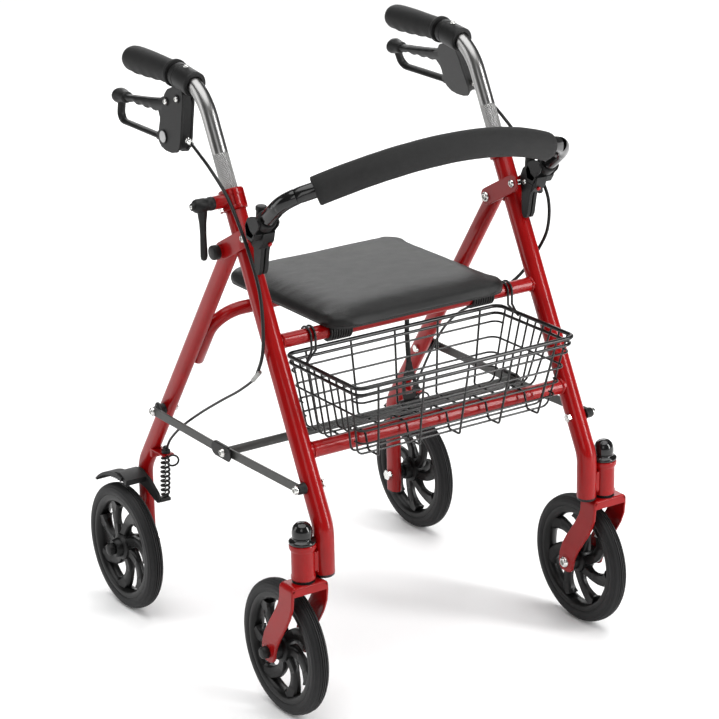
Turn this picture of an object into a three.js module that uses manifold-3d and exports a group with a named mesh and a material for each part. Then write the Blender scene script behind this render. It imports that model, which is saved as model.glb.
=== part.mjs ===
// Four-wheel rollator walker with folding side struts, a padded flip-up seat,
// a backrest bar, a wire basket, hand brakes and height-adjustable handles.
// Millimetres. +Z is up, -Y is the direction of travel, +X is the user's left.
// The origin is on the floor, under the middle of the bounding box.
import * as THREE from 'three';
import { mergeVertices } from 'three/addons/utils/BufferGeometryUtils.js';
import Module from 'manifold-3d';

const wasm = await Module();
wasm.setup();

// ---------------------------------------------------------------- driving dimensions
const SIDES = [['right', -1], ['left', 1]];
const GAP = 0.3;                       // air between parts that touch
const SHIFT_Y = -55.5;                     // brings the box's middle over the origin

const WHEEL_R = 95;                    // 190 mm wheels
const TYRE_W = 24;
const RIM_R = 78;                      // where the plastic centre ends and the tyre starts
const SPOKES = 7;

const LEG_X = 220;                     // side frames stand at x = +-LEG_X
const LEG_R = 14;
const LEG_BORE = 11.6;
const LEG_TOP = [-4, 690];             // y, z of the front leg's top end
const LEG_KNEE = [-212, 277];          // where the front leg turns vertical
const LEG_FOOT_Z = 215;

const TUBE_R = 11;                     // handle tube
const GRIP_Z = 826;
const GRIP_FROM = 128;                 // y of the grip's inner end
const GRIP_TO = 258;

const STEM = [252, -210];              // x, y of the caster stem
const FRONT_AXLE = [-160, WHEEL_R];    // y, z
const REAR_AXLE = [271, WHEEL_R];
const FRONT_WHEEL_X = STEM[0];
const REAR_WHEEL_X = 258;

const FOLD = [1, 608.5];               // y, z of the pivot between front and rear legs
const LUG = [-60, 641];                // y, z of the bracket's front bolt
const REAR_KNEE = [271, 215];
const REAR_FOOT_Z = 68;
const OVAL = [27, 17];                 // rear leg section, along travel by across

const STRUT_FRONT = [-189, 329];       // y, z of the strut's bolt on the front leg
const STRUT_MID = [-5, 325];           // y, z of the centre hinge
const STRUT_REAR = [191.5, 326];       // y, z of the strut's bolt on the rear leg
const STRUT_IN = 239.5;                // inner face of the front strut
const STRUT_T = 3;
const STRUT_H = 13;

const SEAT_TUBE = [-97, 502];          // y, z of the tube under the seat's front
const CROSS_TUBE = [-166, 369];        // y, z of the lower cross tube
const SEAT_HALF = 148;
const SEAT_FRONT = -140;
const SEAT_BACK = 156;
const BOARD_Z = 514;
const BOARD_T = 5;

const BAR_ROOT = [-104, 672];          // y, z where the backrest bar turns in its brackets
const BAR_RISE = THREE.MathUtils.degToRad(40);
const BAR_R = 11;
const BAR_HALF = 229;
const FOAM_R = 20;

// The brakes lean outwards below the grips, the left one further than the right one.
const tilt = (s) => THREE.MathUtils.degToRad(s < 0 ? 1 : 25);
const LEVER_PIN = [141, 40];           // y, and depth below the grip's axis
const BRAKE_PIN = [271, 199];          // y, z of the rear brake arm's pivot

const RIM_Z = 468;                     // basket
const BASKET_BOTTOM = 362;
const BASKET_HALF = 178;
const BASKET_Y = [-238, -62];
const WIRE = 3;

// ---------------------------------------------------------------- finishes
const finish = (color, roughness, metalness) => () =>
  new THREE.MeshStandardMaterial({ color, roughness, metalness });
const RED = finish(0xa5140f, 0.3, 0.5);
const BLACK = finish(0x1c1c1c, 0.5, 0);
const DARK_STEEL = finish(0x4b4b49, 0.45, 0.6);
const ZINC = finish(0xb6b6b2, 0.3, 0.9);
const TYRE = finish(0x3c3c3c, 0.8, 0);
const VINYL = finish(0x2c2c2c, 0.55, 0);
const FOAM = finish(0x303030, 0.8, 0);
const WIRE_BLACK = finish(0x151515, 0.35, 0.3);

// ---------------------------------------------------------------- helpers
const group = new THREE.Group();
const V = (x, y, z) => new THREE.Vector3(x, y, z);

function add(name, geometry, material) {
  const mesh = new THREE.Mesh(geometry, material());
  mesh.name = name;
  group.add(mesh);
}

function toSolid(geometry) {
  const g = geometry.clone();
  g.deleteAttribute('normal');
  g.deleteAttribute('uv');
  const m = mergeVertices(g, 1e-3);
  return new wasm.Manifold(new wasm.Mesh({
    numProp: 3,
    vertProperties: new Float32Array(m.attributes.position.array),
    triVerts: new Uint32Array(m.index.array),
  }));
}

function toGeometry(solid) {
  const mesh = solid.getMesh();
  const g = new THREE.BufferGeometry();
  g.setAttribute('position', new THREE.BufferAttribute(mesh.vertProperties, 3));
  g.setIndex(new THREE.BufferAttribute(mesh.triVerts, 1));
  return g;
}

// Joins a list of closed geometries, then takes away a second list.
function build(parts, cuts = []) {
  let solid = toSolid(parts[0]);
  for (const part of parts.slice(1)) solid = solid.add(toSolid(part));
  for (const cut of cuts) solid = solid.subtract(toSolid(cut));
  return toGeometry(solid);
}

// A route of straight runs with rounded corners. ExtrudeGeometry asks it for its
// points and frames, so a long straight run costs one step.
class Route extends THREE.Curve {
  constructor(corners, radius, arcSteps, side = V(1, 0, 0)) {
    super();
    this.side = side;
    this.rings = [corners[0]];
    for (let i = 1; i < corners.length - 1; i++) {
      const [a, b, c] = [corners[i - 1], corners[i], corners[i + 1]];
      const inward = b.clone().sub(a).normalize();
      const outward = c.clone().sub(b).normalize();
      const turn = inward.angleTo(outward);
      if (turn < 1e-3) continue;
      const reach = radius * Math.tan(turn / 2);
      const toCentre = outward.clone().sub(inward).normalize();
      const centre = b.clone().addScaledVector(toCentre, radius / Math.cos(turn / 2));
      const start = b.clone().addScaledVector(inward, -reach);
      const axis = inward.clone().cross(outward).normalize();
      const arm = start.sub(centre);
      for (let k = 0; k <= arcSteps; k++) {
        this.rings.push(arm.clone().applyAxisAngle(axis, turn * k / arcSteps).add(centre));
      }
    }
    this.rings.push(corners[corners.length - 1]);
    this.count = this.rings.length - 1;
  }

  getPoint(t) {
    const at = t * this.count;
    const i = Math.min(Math.floor(at), this.count - 1);
    return this.rings[i].clone().lerp(this.rings[i + 1], at - i);
  }

  getSpacedPoints() {
    return this.rings.map((p) => p.clone());
  }

  computeFrenetFrames() {
    const tangents = this.rings.map((p, i) => {
      const before = this.rings[Math.max(i - 1, 0)];
      const after = this.rings[Math.min(i + 1, this.count)];
      const a = p.clone().sub(before).normalize();
      const b = after.clone().sub(p).normalize();
      return a.add(b).normalize();
    });
    const normals = [];
    const binormals = [];
    let reference = this.side.clone();
    for (const t of tangents) {
      const binormal = reference.clone().addScaledVector(t, -reference.dot(t)).normalize();
      binormals.push(binormal);
      normals.push(binormal.clone().cross(t));
      reference = binormal;
    }
    return { tangents, normals, binormals };
  }
}

function disc(radius, bore = 0) {
  const shape = new THREE.Shape();
  shape.absarc(0, 0, radius, 0, Math.PI * 2, false);
  if (bore) {
    const hole = new THREE.Path();
    hole.absarc(0, 0, bore, 0, Math.PI * 2, true);
    shape.holes.push(hole);
  }
  return shape;
}

// A stadium, length along the first axis and width along the second.
function stadium(length, width) {
  const r = width / 2;
  const half = length / 2 - r;
  const shape = new THREE.Shape();
  shape.absarc(half, 0, r, -Math.PI / 2, Math.PI / 2, false);
  shape.absarc(-half, 0, r, Math.PI / 2, Math.PI * 1.5, false);
  shape.closePath();
  return shape;
}

// curveSegments counts steps in each curve of the section.
function sweep(route, section, curveSegments) {
  return new THREE.ExtrudeGeometry(section, {
    steps: route.count, extrudePath: route, curveSegments,
  });
}

function rod(a, b, r, sides = 10, rEnd = r) {
  const axis = b.clone().sub(a);
  const g = new THREE.CylinderGeometry(rEnd, r, axis.length(), sides);
  const q = new THREE.Quaternion().setFromUnitVectors(V(0, 1, 0), axis.clone().normalize());
  g.applyQuaternion(q);
  const mid = a.clone().add(b).multiplyScalar(0.5);
  return g.translate(mid.x, mid.y, mid.z);
}

// A rod along X at (y, z) between two x values.
const pin = (x0, x1, at, r, sides = 8) => rod(V(x0, at[0], at[1]), V(x1, at[0], at[1]), r, sides);

// Turns a profile of [radius, along] points about the axis from a towards b.
function turned(profile, a, b, sides = 20) {
  const g = new THREE.LatheGeometry(profile.map(([r, h]) => new THREE.Vector2(r, h)), sides);
  const q = new THREE.Quaternion().setFromUnitVectors(V(0, 1, 0), b.clone().sub(a).normalize());
  return g.applyQuaternion(q).translate(a.x, a.y, a.z);
}

// A plate: a (y, z) outline between x0 and x1, in either order.
function plate(shape, x0, x1, curveSegments = 6) {
  const low = Math.min(x0, x1);
  const g = new THREE.ExtrudeGeometry(shape, {
    depth: Math.abs(x1 - x0), bevelEnabled: false, curveSegments,
  });
  g.applyMatrix4(new THREE.Matrix4().set(0, 0, 1, low, 1, 0, 0, 0, 0, 1, 0, 0, 0, 0, 0, 1));
  return g;
}

// A flat link with round ends from a to b, both (y, z).
function linkShape(a, b, r, holes = []) {
  const along = Math.atan2(b[1] - a[1], b[0] - a[0]);
  const shape = new THREE.Shape();
  shape.absarc(b[0], b[1], r, along - Math.PI / 2, along + Math.PI / 2, false);
  shape.absarc(a[0], a[1], r, along + Math.PI / 2, along + Math.PI * 1.5, false);
  shape.closePath();
  for (const [at, bore] of holes) {
    const hole = new THREE.Path();
    hole.absarc(at[0], at[1], bore, 0, Math.PI * 2, true);
    shape.holes.push(hole);
  }
  return shape;
}

function outline(points) {
  return new THREE.Shape(points.map(([y, z]) => new THREE.Vector2(y, z)));
}

function box(x0, x1, y0, y1, z0, z1) {
  const g = new THREE.BoxGeometry(Math.abs(x1 - x0), Math.abs(y1 - y0), Math.abs(z1 - z0));
  return g.translate((x0 + x1) / 2, (y0 + y1) / 2, (z0 + z1) / 2);
}

// The unit direction up the front leg, and a point on its axis at height z.
const LEG_UP = V(0, LEG_TOP[0] - LEG_KNEE[0], LEG_TOP[1] - LEG_KNEE[1]).normalize();
const legY = (z) => LEG_TOP[0] + (z - LEG_TOP[1]) * LEG_UP.y / LEG_UP.z;
const legPoint = (x, z) => V(x, legY(z), z);
const LEG_OUT = V(0, -LEG_UP.z, LEG_UP.y);   // forward, square to the leg

// Rear leg's straight run, from the fold pivot to its knee.
const REAR_UP = V(0, FOLD[0] - REAR_KNEE[0], FOLD[1] - REAR_KNEE[1]).normalize();
const rearY = (z) => REAR_KNEE[0] + (z - REAR_KNEE[1]) * REAR_UP.y / REAR_UP.z;

// ---------------------------------------------------------------- front frame
function frontLeg(s) {
  const x = s * LEG_X;
  const route = new Route(
    [V(x, ...LEG_TOP), V(x, ...LEG_KNEE), V(x, LEG_KNEE[0], LEG_FOOT_Z)], 55, 3);
  const straight = sweep(route, disc(LEG_R, LEG_BORE), 6);
  const bolt = pin(s * (LEG_X - 20), s * (STRUT_IN + STRUT_T * 2 + 4.6), STRUT_FRONT, 3.5);
  const head = pin(s * (STRUT_IN + STRUT_T + 4.2), s * (STRUT_IN + STRUT_T * 2 + 5),
    STRUT_FRONT, 6);
  const nut = pin(s * (LEG_X - 19), s * (LEG_X - LEG_R + 0.6), STRUT_FRONT, 6, 6);
  const spacer = pin(s * (LEG_X + LEG_R - 2), s * (STRUT_IN - GAP), STRUT_FRONT, 7);
  return build([straight, bolt, head, nut, spacer]);
}

function legClamp(s) {
  const x = s * LEG_X;
  const top = legPoint(x, LEG_TOP[1] + 2);
  const low = top.clone().addScaledVector(LEG_UP, -28);
  const at = [legY(680), 680];
  const ring = rod(low, top, LEG_R + 4, 14);
  const boss = pin(s * (LEG_X + LEG_R - 4), s * (LEG_X + 30), at, 10, 10);
  const slit = box(x - 1.2, x + 1.2, legY(680) - 24, legY(680) - 10, 640, 720);
  const legRoom = rod(low.clone().addScaledVector(LEG_UP, -20),
    legPoint(x, LEG_TOP[1]).addScaledVector(LEG_UP, GAP), LEG_R + GAP, 12);
  const tubeRoom = rod(low, top.clone().addScaledVector(LEG_UP, 20), LEG_BORE + 0.3, 14);
  const screwRoom = pin(s * (LEG_X + LEG_R + 2), s * (LEG_X + 40), at, 3.4);
  return build([ring, boss], [legRoom, tubeRoom, slit, screwRoom]);
}

function clampLever(s) {
  const at = [legY(680), 680];
  const from = LEG_X + 30 + GAP;
  const mid = s * (from + 17);
  const down = s < 0 ? V(0, 0, -1) : LEG_UP.clone().negate();
  const hub = pin(s * from, s * (from + 32), at, 8, 10);
  const cap = pin(s * (from + 31), s * (from + 34), at, 4.5);
  const screw = pin(s * (LEG_X + LEG_R + 2.5), s * (from + 2), at, 3);
  const root = V(mid, ...at);
  const neck = root.clone().addScaledVector(down, 26);
  const tip = root.clone().addScaledVector(down, 72);
  const arm = rod(root, neck, 6, 8, 4);
  const blade = rod(neck.clone().addScaledVector(down, -1), tip, 4, 8, 5.2);
  const end = new THREE.SphereGeometry(5.2, 8, 4).translate(tip.x, tip.y, tip.z);
  return build([hub, cap, screw, arm, blade, end]);
}

function bracket(s) {
  const inner = LEG_X - LEG_R - GAP;
  const outer = LEG_X + LEG_R + GAP;
  const shape = linkShape(FOLD, LUG, 12.5, [[FOLD, 4.4]]);
  const inside = plate(shape, s * (inner - 2.5), s * inner, 4);
  const outside = plate(shape, s * outer, s * (outer + 2.5), 4);
  const ahead = V(0, LUG[0] - FOLD[0], LUG[1] - FOLD[1]).normalize();
  const web = new THREE.BoxGeometry(outer - inner + 4, 2.5, 21);
  web.rotateX(Math.atan2(ahead.z, -ahead.y) * -1);
  web.translate(s * LEG_X, LUG[0] + ahead.y * 9, LUG[1] + ahead.z * 9);
  const bolt = pin(s * (inner - 3), s * (outer + 3), LUG, 3.5);
  const headIn = pin(s * (inner - 5.5), s * (inner - 2), LUG, 5.5);
  const headOut = pin(s * (outer + 2), s * (outer + 5.5), LUG, 5.5);
  return build([inside, outside, web, bolt, headIn, headOut]);
}

function foldBolt(s) {
  const inner = LEG_X - LEG_R - GAP - 2.5;
  const outer = LEG_X + LEG_R + GAP + 2.5;
  const shank = pin(s * (inner - 2), s * (outer + 2), FOLD, 4);
  const head = pin(s * (inner - GAP - 4), s * (inner - GAP), FOLD, 6.5);
  const dome = turned([[0, 0], [9.5, 0], [9.5, 6], [7.5, 10.5], [4, 13], [0, 13.6]],
    V(s * (outer + GAP), ...FOLD), V(s * (outer + 10), ...FOLD), 10);
  const washers = [-1, 1].map((k) => pin(s * (LEG_X + k * (OVAL[1] / 2 + GAP)),
    s * (LEG_X + k * LEG_R), FOLD, 8));
  return build([shank, head, dome, ...washers]);
}

function lateralTube(at, r, halfLength) {
  return pin(-halfLength, halfLength, at, r, 14);
}

// Cross tubes end in a saddle on the front legs.
function crossTube(at, r) {
  const legs = SIDES.map(([, s]) => rod(legPoint(s * LEG_X, 300), legPoint(s * LEG_X, 560),
    LEG_R + GAP, 20));
  return build([lateralTube(at, r, LEG_X - 3)], legs);
}

function casterHousing(s) {
  const [x, y] = [s * STEM[0], STEM[1]];
  const shape = [[16, 212.5], [16, 258], [18, 260], [18, 263], [8, 263], [8, 212.5], [16, 212.5]];
  const barrel = turned(shape, V(x, y, 0), V(x, y, 1), 16);
  const weld = box(s * (LEG_X + LEG_R - 1), x - s * 14, y - 8, y + 6, 222, 248);
  const legRoom = rod(V(s * LEG_X, LEG_KNEE[0], 205), V(s * LEG_X, LEG_KNEE[0], 260),
    LEG_R + GAP, 20);
  return build([barrel, weld], [legRoom]);
}

function casterCap(s) {
  const [x, y] = [s * STEM[0], STEM[1]];
  const z = 263 + GAP;
  const dome = [[0, z], [18, z], [18, z + 4], [15.5, z + 7], [13, z + 8], [13.2, z + 14],
    [11.5, z + 22], [7, z + 27.5], [0, z + 29.5]];
  return turned(dome, V(x, y, 0), V(x, y, 1), 16);
}

// ---------------------------------------------------------------- handles and brakes
function handleRoute(s, grow) {
  const x = s * LEG_X;
  const bottom = legPoint(x, 690 - 190);
  return sweep(new Route([bottom, legPoint(x, GRIP_Z), V(x, GRIP_TO - 7, GRIP_Z)], 82, 6),
    disc(TUBE_R + grow), 7);
}

function grip(s) {
  const x = s * LEG_X;
  const length = GRIP_TO - GRIP_FROM;
  const bore = TUBE_R + GAP * 2;
  const profile = [[bore, 0], [19, 0], [19.3, 5], [16, 10], [16.4, 32], [18, 64], [18.6, 92],
    [18.4, 114], [16.8, 124], [11, 129], [0, length], [0, length - 6], [bore, length - 6],
    [bore, 0]];
  return turned(profile, V(x, GRIP_FROM, GRIP_Z), V(x, GRIP_TO, GRIP_Z), 12);
}

// Brake pieces are drawn upright below the grip, then leaned outwards about its axis.
function lean(geometry, s) {
  geometry.translate(0, 0, -GRIP_Z).rotateY(s * -tilt(s)).translate(s * LEG_X, 0, GRIP_Z);
  return geometry;
}

const below = (points) => points.map(([y, depth]) => [y, GRIP_Z - depth]);

function brakeHousing(s) {
  const body = plate(outline(below([[100, 12], [98, 36], [103, 62], [107, 92], [114, 105],
    [126, 109], [146, 110], [160, 105], [167, 95], [162, 76], [156, 54], [150, 38], [143, 24],
    [127, 22], [127, 12]])), -10, 10);
  const adjuster = rod(V(0, 112, GRIP_Z - 84), V(0, 92, GRIP_Z - 90), 4, 8);
  const pinAt = [LEVER_PIN[0], GRIP_Z - LEVER_PIN[1]];
  const slot = plate(outline(below([[118, 26], [118, 114], [190, 114], [190, 26]])), -6, 6);
  const leverPin = pin(-9, 9, pinAt, 3);
  const collar = rod(V(s * LEG_X, 124.8, GRIP_Z), V(s * LEG_X, 76, GRIP_Z - 7.5), 16.5, 16);
  const upright = build([build([body], [slot]), leverPin, adjuster]);
  return build([collar, lean(upright, s)], [handleRoute(s, GAP)]);
}

function brakeLever(s) {
  const pinAt = [LEVER_PIN[0], GRIP_Z - LEVER_PIN[1]];
  const root = plate(outline(below([[130, 34], [147, 33], [162, 38], [176, 50], [174, 60],
    [170, 72], [172, 84], [180, 92], [180, 101], [132, 101], [124, 90], [128, 60]])), -5.4, 5.4);
  const bar = plate(outline(below([[162, 40], [178, 45], [210, 50], [244, 54], [276, 56],
    [276, 65], [262, 67], [250, 64], [238, 67], [226, 62], [214, 65], [202, 60], [190, 62],
    [176, 58]])), -7, 7);
  const knob = new THREE.SphereGeometry(11, 8, 6).scale(1.15, 1.25, 0.85);
  knob.translate(0, 284, GRIP_Z - 60);
  const loop = sweep(new Route([V(0, 286, GRIP_Z - 62), V(0, 290, GRIP_Z - 95),
    V(0, 172, GRIP_Z - 97)], 12, 4), disc(3.8), 3);
  return lean(build([root, bar, knob, loop], [pin(-20, 20, pinAt, 3.4)]), s);
}

// Cable stop, the end of the lever's cable, on the front of the rear leg.
const STOP = [207, 254];

function brakeCable(s) {
  const depth = 91;
  const start = V(0, 91, -depth).applyAxisAngle(V(0, 1, 0), s * -tilt(s));
  start.add(V(s * LEG_X, 0, GRIP_Z));
  const upper = [
    [start.x, start.y, start.z], [s * 240, 55, 731], [s * 240, 12, 722], [s * 241, -30, 692],
    [s * 243, -62, 660], [s * 244, -90, 622],
  ];
  // The right cable stays outside the frame. The left one crosses behind the front leg.
  const outside = [
    [-243, -108, 580], [-242, -112, 530], [-240, -104, 490], [-238, -84, 456], [-237, -40, 424],
    [-236, 15, 392], [-235, 75, 356], [-233, 130, 320], [-229, 172, 288], [-222, 199, 264],
  ];
  const inside = [
    [243, -92, 580], [240, -76, 545], [232, -44, 500], [224, 1, 460], [221, 46, 434],
    [220, 92, 408], [220, 133, 372], [220, 166, 328], [220, 190, 290], [220, 203, 270],
  ];
  const points = [
    ...upper, ...(s < 0 ? outside : inside), [s * LEG_X, STOP[0] - 0.5, STOP[1] + 6.5],
  ];
  const curve = new THREE.CatmullRomCurve3(points.map((p) => V(...p)), false, 'centripetal');
  return new THREE.ExtrudeGeometry(disc(2), { steps: 28, extrudePath: curve, curveSegments: 4 });
}

// ---------------------------------------------------------------- casters and wheels
function fork(s) {
  const [x, y] = [s * STEM[0], STEM[1]];
  const stem = rod(V(x, y, 204), V(x, y, 262), 6);
  const race = rod(V(x, y, 206), V(x, y, 211.8), 13, 12);
  const crown = new THREE.ExtrudeGeometry(stadium(58, 34), {
    depth: 5, bevelEnabled: false, curveSegments: 3,
  });
  crown.translate(x, y, 202);
  const half = FRONT_WHEEL_X;
  const armShape = new THREE.Shape();
  armShape.moveTo(y - 15, 206);
  armShape.lineTo(y + 15, 206);
  armShape.lineTo(y + 14, 182);
  armShape.quadraticCurveTo(y + 16, 158, y + 38, 134);
  armShape.lineTo(FRONT_AXLE[0] + 9, FRONT_AXLE[1] + 12);
  armShape.absarc(FRONT_AXLE[0], FRONT_AXLE[1], 12, 0.75, -2.4, true);
  armShape.quadraticCurveTo(y + 16, 122, y - 8, 158);
  armShape.quadraticCurveTo(y - 16, 172, y - 15, 206);
  const arms = [-1, 1].map((k) => plate(armShape, s * half + k * 25, s * half + k * 29, 3));
  const bores = pin(s * half - 40, s * half + 40, FRONT_AXLE, 4.4);
  return build([stem, race, crown, ...arms], [bores]);
}

function frontAxle(s) {
  const x = s * FRONT_WHEEL_X;
  const shank = pin(x - 30, x + 30, FRONT_AXLE, 4);
  const outer = turned([[0, 0], [8.5, 0], [8.5, 4], [6.5, 7], [0, 8]],
    V(x + s * 29.3, ...FRONT_AXLE), V(x + s * 60, ...FRONT_AXLE), 10);
  const inner = pin(x - s * 29.3, x - s * 34, FRONT_AXLE, 6.5, 6);
  return build([shank, outer, inner]);
}

function wheel(x, axle, hubHalf, bore) {
  const rim = new THREE.Shape();
  rim.absarc(0, 0, RIM_R - 0.6, 0, Math.PI * 2, false);
  const pitch = Math.PI * 2 / SPOKES;
  const polar = (r, a) => new THREE.Vector2(r * Math.cos(a), r * Math.sin(a));
  for (let i = 0; i < SPOKES; i++) {
    const a = i * pitch;
    const window = new THREE.Path();
    window.setFromPoints([polar(24, a + 0.2), polar(45, a), polar(66, a + 0.12),
      polar(66, a + 0.5), polar(45, a + 0.56), polar(24, a + 0.72)].reverse());
    rim.holes.push(window);
  }
  const disk = plate(rim, -8, 8, 13);
  const hub = pin(-hubHalf, hubHalf, [0, 0], 15, 10);
  const flange = pin(-hubHalf * 0.6, hubHalf * 0.6, [0, 0], 20, 10);
  const hole = pin(-60, 60, [0, 0], bore);
  return build([disk, hub, flange], [hole]).translate(x, axle[0], axle[1]);
}

function tyre(x, axle) {
  const half = TYRE_W / 2;
  const profile = [[RIM_R + GAP, -half + 2], [WHEEL_R - 6, -half], [WHEEL_R, -half + 6],
    [WHEEL_R, half - 6], [WHEEL_R - 6, half], [RIM_R + GAP, half - 2], [RIM_R + GAP, -half + 2]];
  return turned(profile, V(x, ...axle), V(x + 1, ...axle), 28);
}

// ---------------------------------------------------------------- rear frame
function rearLeg(s) {
  const x = s * LEG_X;
  const top = V(x, FOLD[0], FOLD[1]).addScaledVector(REAR_UP, 9);
  const route = new Route([top, V(x, ...REAR_KNEE), V(x, REAR_KNEE[0], REAR_FOOT_Z)], 50, 3);
  const tube = sweep(route, stadium(...OVAL), 2);
  const strutBolt = pin(s * LEG_X, s * (STRUT_IN + STRUT_T * 2 + 5.4), STRUT_REAR, 3.5);
  const strutHead = pin(s * (STRUT_IN + STRUT_T * 2 + 1), s * (STRUT_IN + STRUT_T * 2 + 6),
    STRUT_REAR, 6);
  const spacer = pin(s * (LEG_X + 5), s * (STRUT_IN + STRUT_T), STRUT_REAR, 7);
  const brakeBolt = pin(s * LEG_X, s * (LEG_X + 22), BRAKE_PIN, 4);
  const brakeHead = pin(s * (LEG_X + 18), s * (LEG_X + 22), BRAKE_PIN, 6.5);
  const tab = box(x - 9, x + 9, STOP[0] - 7, rearY(STOP[1]) - 4, STOP[1] - 6, STOP[1] - 3);
  const stopper = rod(V(x, STOP[0], STOP[1] - 4), V(x, STOP[0], STOP[1] + 4), 4.5, 8);
  const bores = [pin(x - 30, x + 30, FOLD, 4.5), pin(x - 30, x + 30, REAR_AXLE, 5.5)];
  return build([tube, strutBolt, strutHead, spacer, brakeBolt, brakeHead, tab, stopper], bores);
}

function rearArch() {
  const x = LEG_X - OVAL[1] / 2 - 9.5 - GAP;
  const low = 412;
  const high = 494;
  const corners = [V(-x, rearY(low), low), V(-x, rearY(high), high),
    V(x, rearY(high), high), V(x, rearY(low), low)];
  const side = V(0, REAR_UP.z, -REAR_UP.y);
  return sweep(new Route(corners, 42, 4, side), disc(9.5), 5);
}

function rearAxle(s) {
  const from = LEG_X - OVAL[1] / 2 - GAP;
  const shank = pin(s * (from - 3), s * (REAR_WHEEL_X + 24), REAR_AXLE, 5);
  const nut = pin(s * (from - 6), s * from, REAR_AXLE, 8.5, 6);
  const collar = pin(s * (LEG_X + OVAL[1] / 2 + GAP), s * (REAR_WHEEL_X - 22.4), REAR_AXLE, 9, 10);
  const cap = turned([[0, 0], [9, 0], [9, 4], [7, 7], [0, 8]],
    V(s * (REAR_WHEEL_X + 22.4), ...REAR_AXLE), V(s * 400, ...REAR_AXLE), 10);
  return build([shank, nut, collar, cap]);
}

// The toothed shoe follows the tyre; its arm turns on the rear leg's bolt and
// runs forward to the cable.
function brakeArm(s) {
  const clear = WHEEL_R + 11;
  const shoe = new THREE.Shape();
  const teeth = 6;
  const [from, to] = [Math.PI * 0.325, Math.PI * 0.54];
  const at = (r, a) => [REAR_AXLE[0] + r * Math.cos(a), REAR_AXLE[1] + r * Math.sin(a)];
  shoe.moveTo(...at(clear + 10, to));
  for (let i = 0; i <= teeth; i++) {
    const a = to + (from - to) * i / teeth;
    shoe.lineTo(...at(clear + 10 - 4 * (i / teeth) ** 2, a));
  }
  for (let i = teeth; i >= 0; i--) {
    const a = to + (from - to) * i / teeth;
    shoe.lineTo(...at(clear + 2.4, a));
    if (i > 0) shoe.lineTo(...at(clear, a + (to - from) / teeth * 0.5));
  }
  const inX = LEG_X + OVAL[1] / 2 + GAP;
  const pad = plate(shoe, s * (REAR_WHEEL_X - 11), s * (REAR_WHEEL_X + 11));
  const arm = outline([[284, 207], [262, 214], [236, 204], [215, 190], [209, 180], [214, 173],
    [224, 175], [248, 184], [266, 188], [281, 190]]);
  const lever = plate(arm, s * inX, s * (inX + 5), 6);
  const bridge = plate(outline([[246, 206], [266, 213], [282, 209.5], [282, 205], [264, 204],
    [248, 197]]), s * (inX + 1), s * (REAR_WHEEL_X + 8));
  const cableLug = box(s * (LEG_X - 6), s * (inX + 2), 209, 221, 176, 181);
  const bore = pin(s * (LEG_X - 30), s * (LEG_X + 30), BRAKE_PIN, 4.4);
  const headRoom = pin(s * (inX + 5), s * (LEG_X + 24), BRAKE_PIN, 7.5, 10);
  return build([pad, lever, bridge, cableLug], [bore, headRoom]);
}

function brakeSpring(s) {
  const x = s * LEG_X;
  const a = V(x, STOP[0] + 2, STOP[1] - 7);
  const b = V(x, 214.5, 182);
  const length = a.distanceTo(b);
  const profile = [[3, 0], [6, 0], [6, length], [3, length], [3, 0]];
  return turned(profile, a, b, 8);
}

// ---------------------------------------------------------------- folding struts
function strut(a, b, x0, x1) {
  return plate(linkShape(a, b, STRUT_H / 2), x0, x1, 3);
}

function frontStrut(s) {
  const [x0, x1] = [s * STRUT_IN, s * (STRUT_IN + STRUT_T)];
  const bar = strut(STRUT_FRONT, STRUT_MID, x0, x1);
  return build([bar], [pin(s * 230, s * 260, STRUT_FRONT, 4)]);
}

function rearStrut(s) {
  const [x0, x1] = [s * (STRUT_IN + STRUT_T + GAP), s * (STRUT_IN + STRUT_T * 2 + GAP)];
  const bar = strut(STRUT_REAR, STRUT_MID, x0, x1);
  const coverTo = [STRUT_MID[0] + 16, STRUT_MID[1] + 0.1];
  const cover = plate(linkShape([STRUT_MID[0] - 6, STRUT_MID[1]], coverTo, 10), x0, x1, 3);
  const bolt = pin(s * (STRUT_IN + STRUT_T * 2), s * (STRUT_IN + STRUT_T * 2 + 4), STRUT_MID, 6);
  return build([bar, cover, bolt], [pin(s * 230, s * 260, STRUT_REAR, 4)]);
}

function pullStrap() {
  const x = 62;
  const y = STRUT_MID[0];
  const shape = new THREE.Shape();
  shape.moveTo(-4, 66);
  shape.lineTo(4, 66);
  shape.lineTo(5, 60);
  shape.quadraticCurveTo(12, 40, 12, 26);
  shape.quadraticCurveTo(12, 6, 0, 6);
  shape.quadraticCurveTo(-12, 6, -12, 26);
  shape.quadraticCurveTo(-12, 40, -5, 60);
  const blade = new THREE.ExtrudeGeometry(shape, {
    depth: 3, bevelEnabled: false, curveSegments: 5,
  });
  blade.rotateX(Math.PI / 2).translate(x, y + 1.5, STRUT_MID[1]);
  const slot = box(x - 7, x + 7, y - 5, y + 5, STRUT_MID[1] + 20, STRUT_MID[1] + 36);
  const tail = box(x - 4, x + 4, y - 1.2, y + 1.2, STRUT_MID[1] + 64, 470);
  const ring = rod(V(x - 15, y, STRUT_MID[1]), V(x + 15, y, STRUT_MID[1]), 10, 12);
  const room = rod(V(x - 40, y, STRUT_MID[1]), V(x + 40, y, STRUT_MID[1]), 6.8, 10);
  return build([ring, blade, tail], [room, slot]);
}

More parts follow.
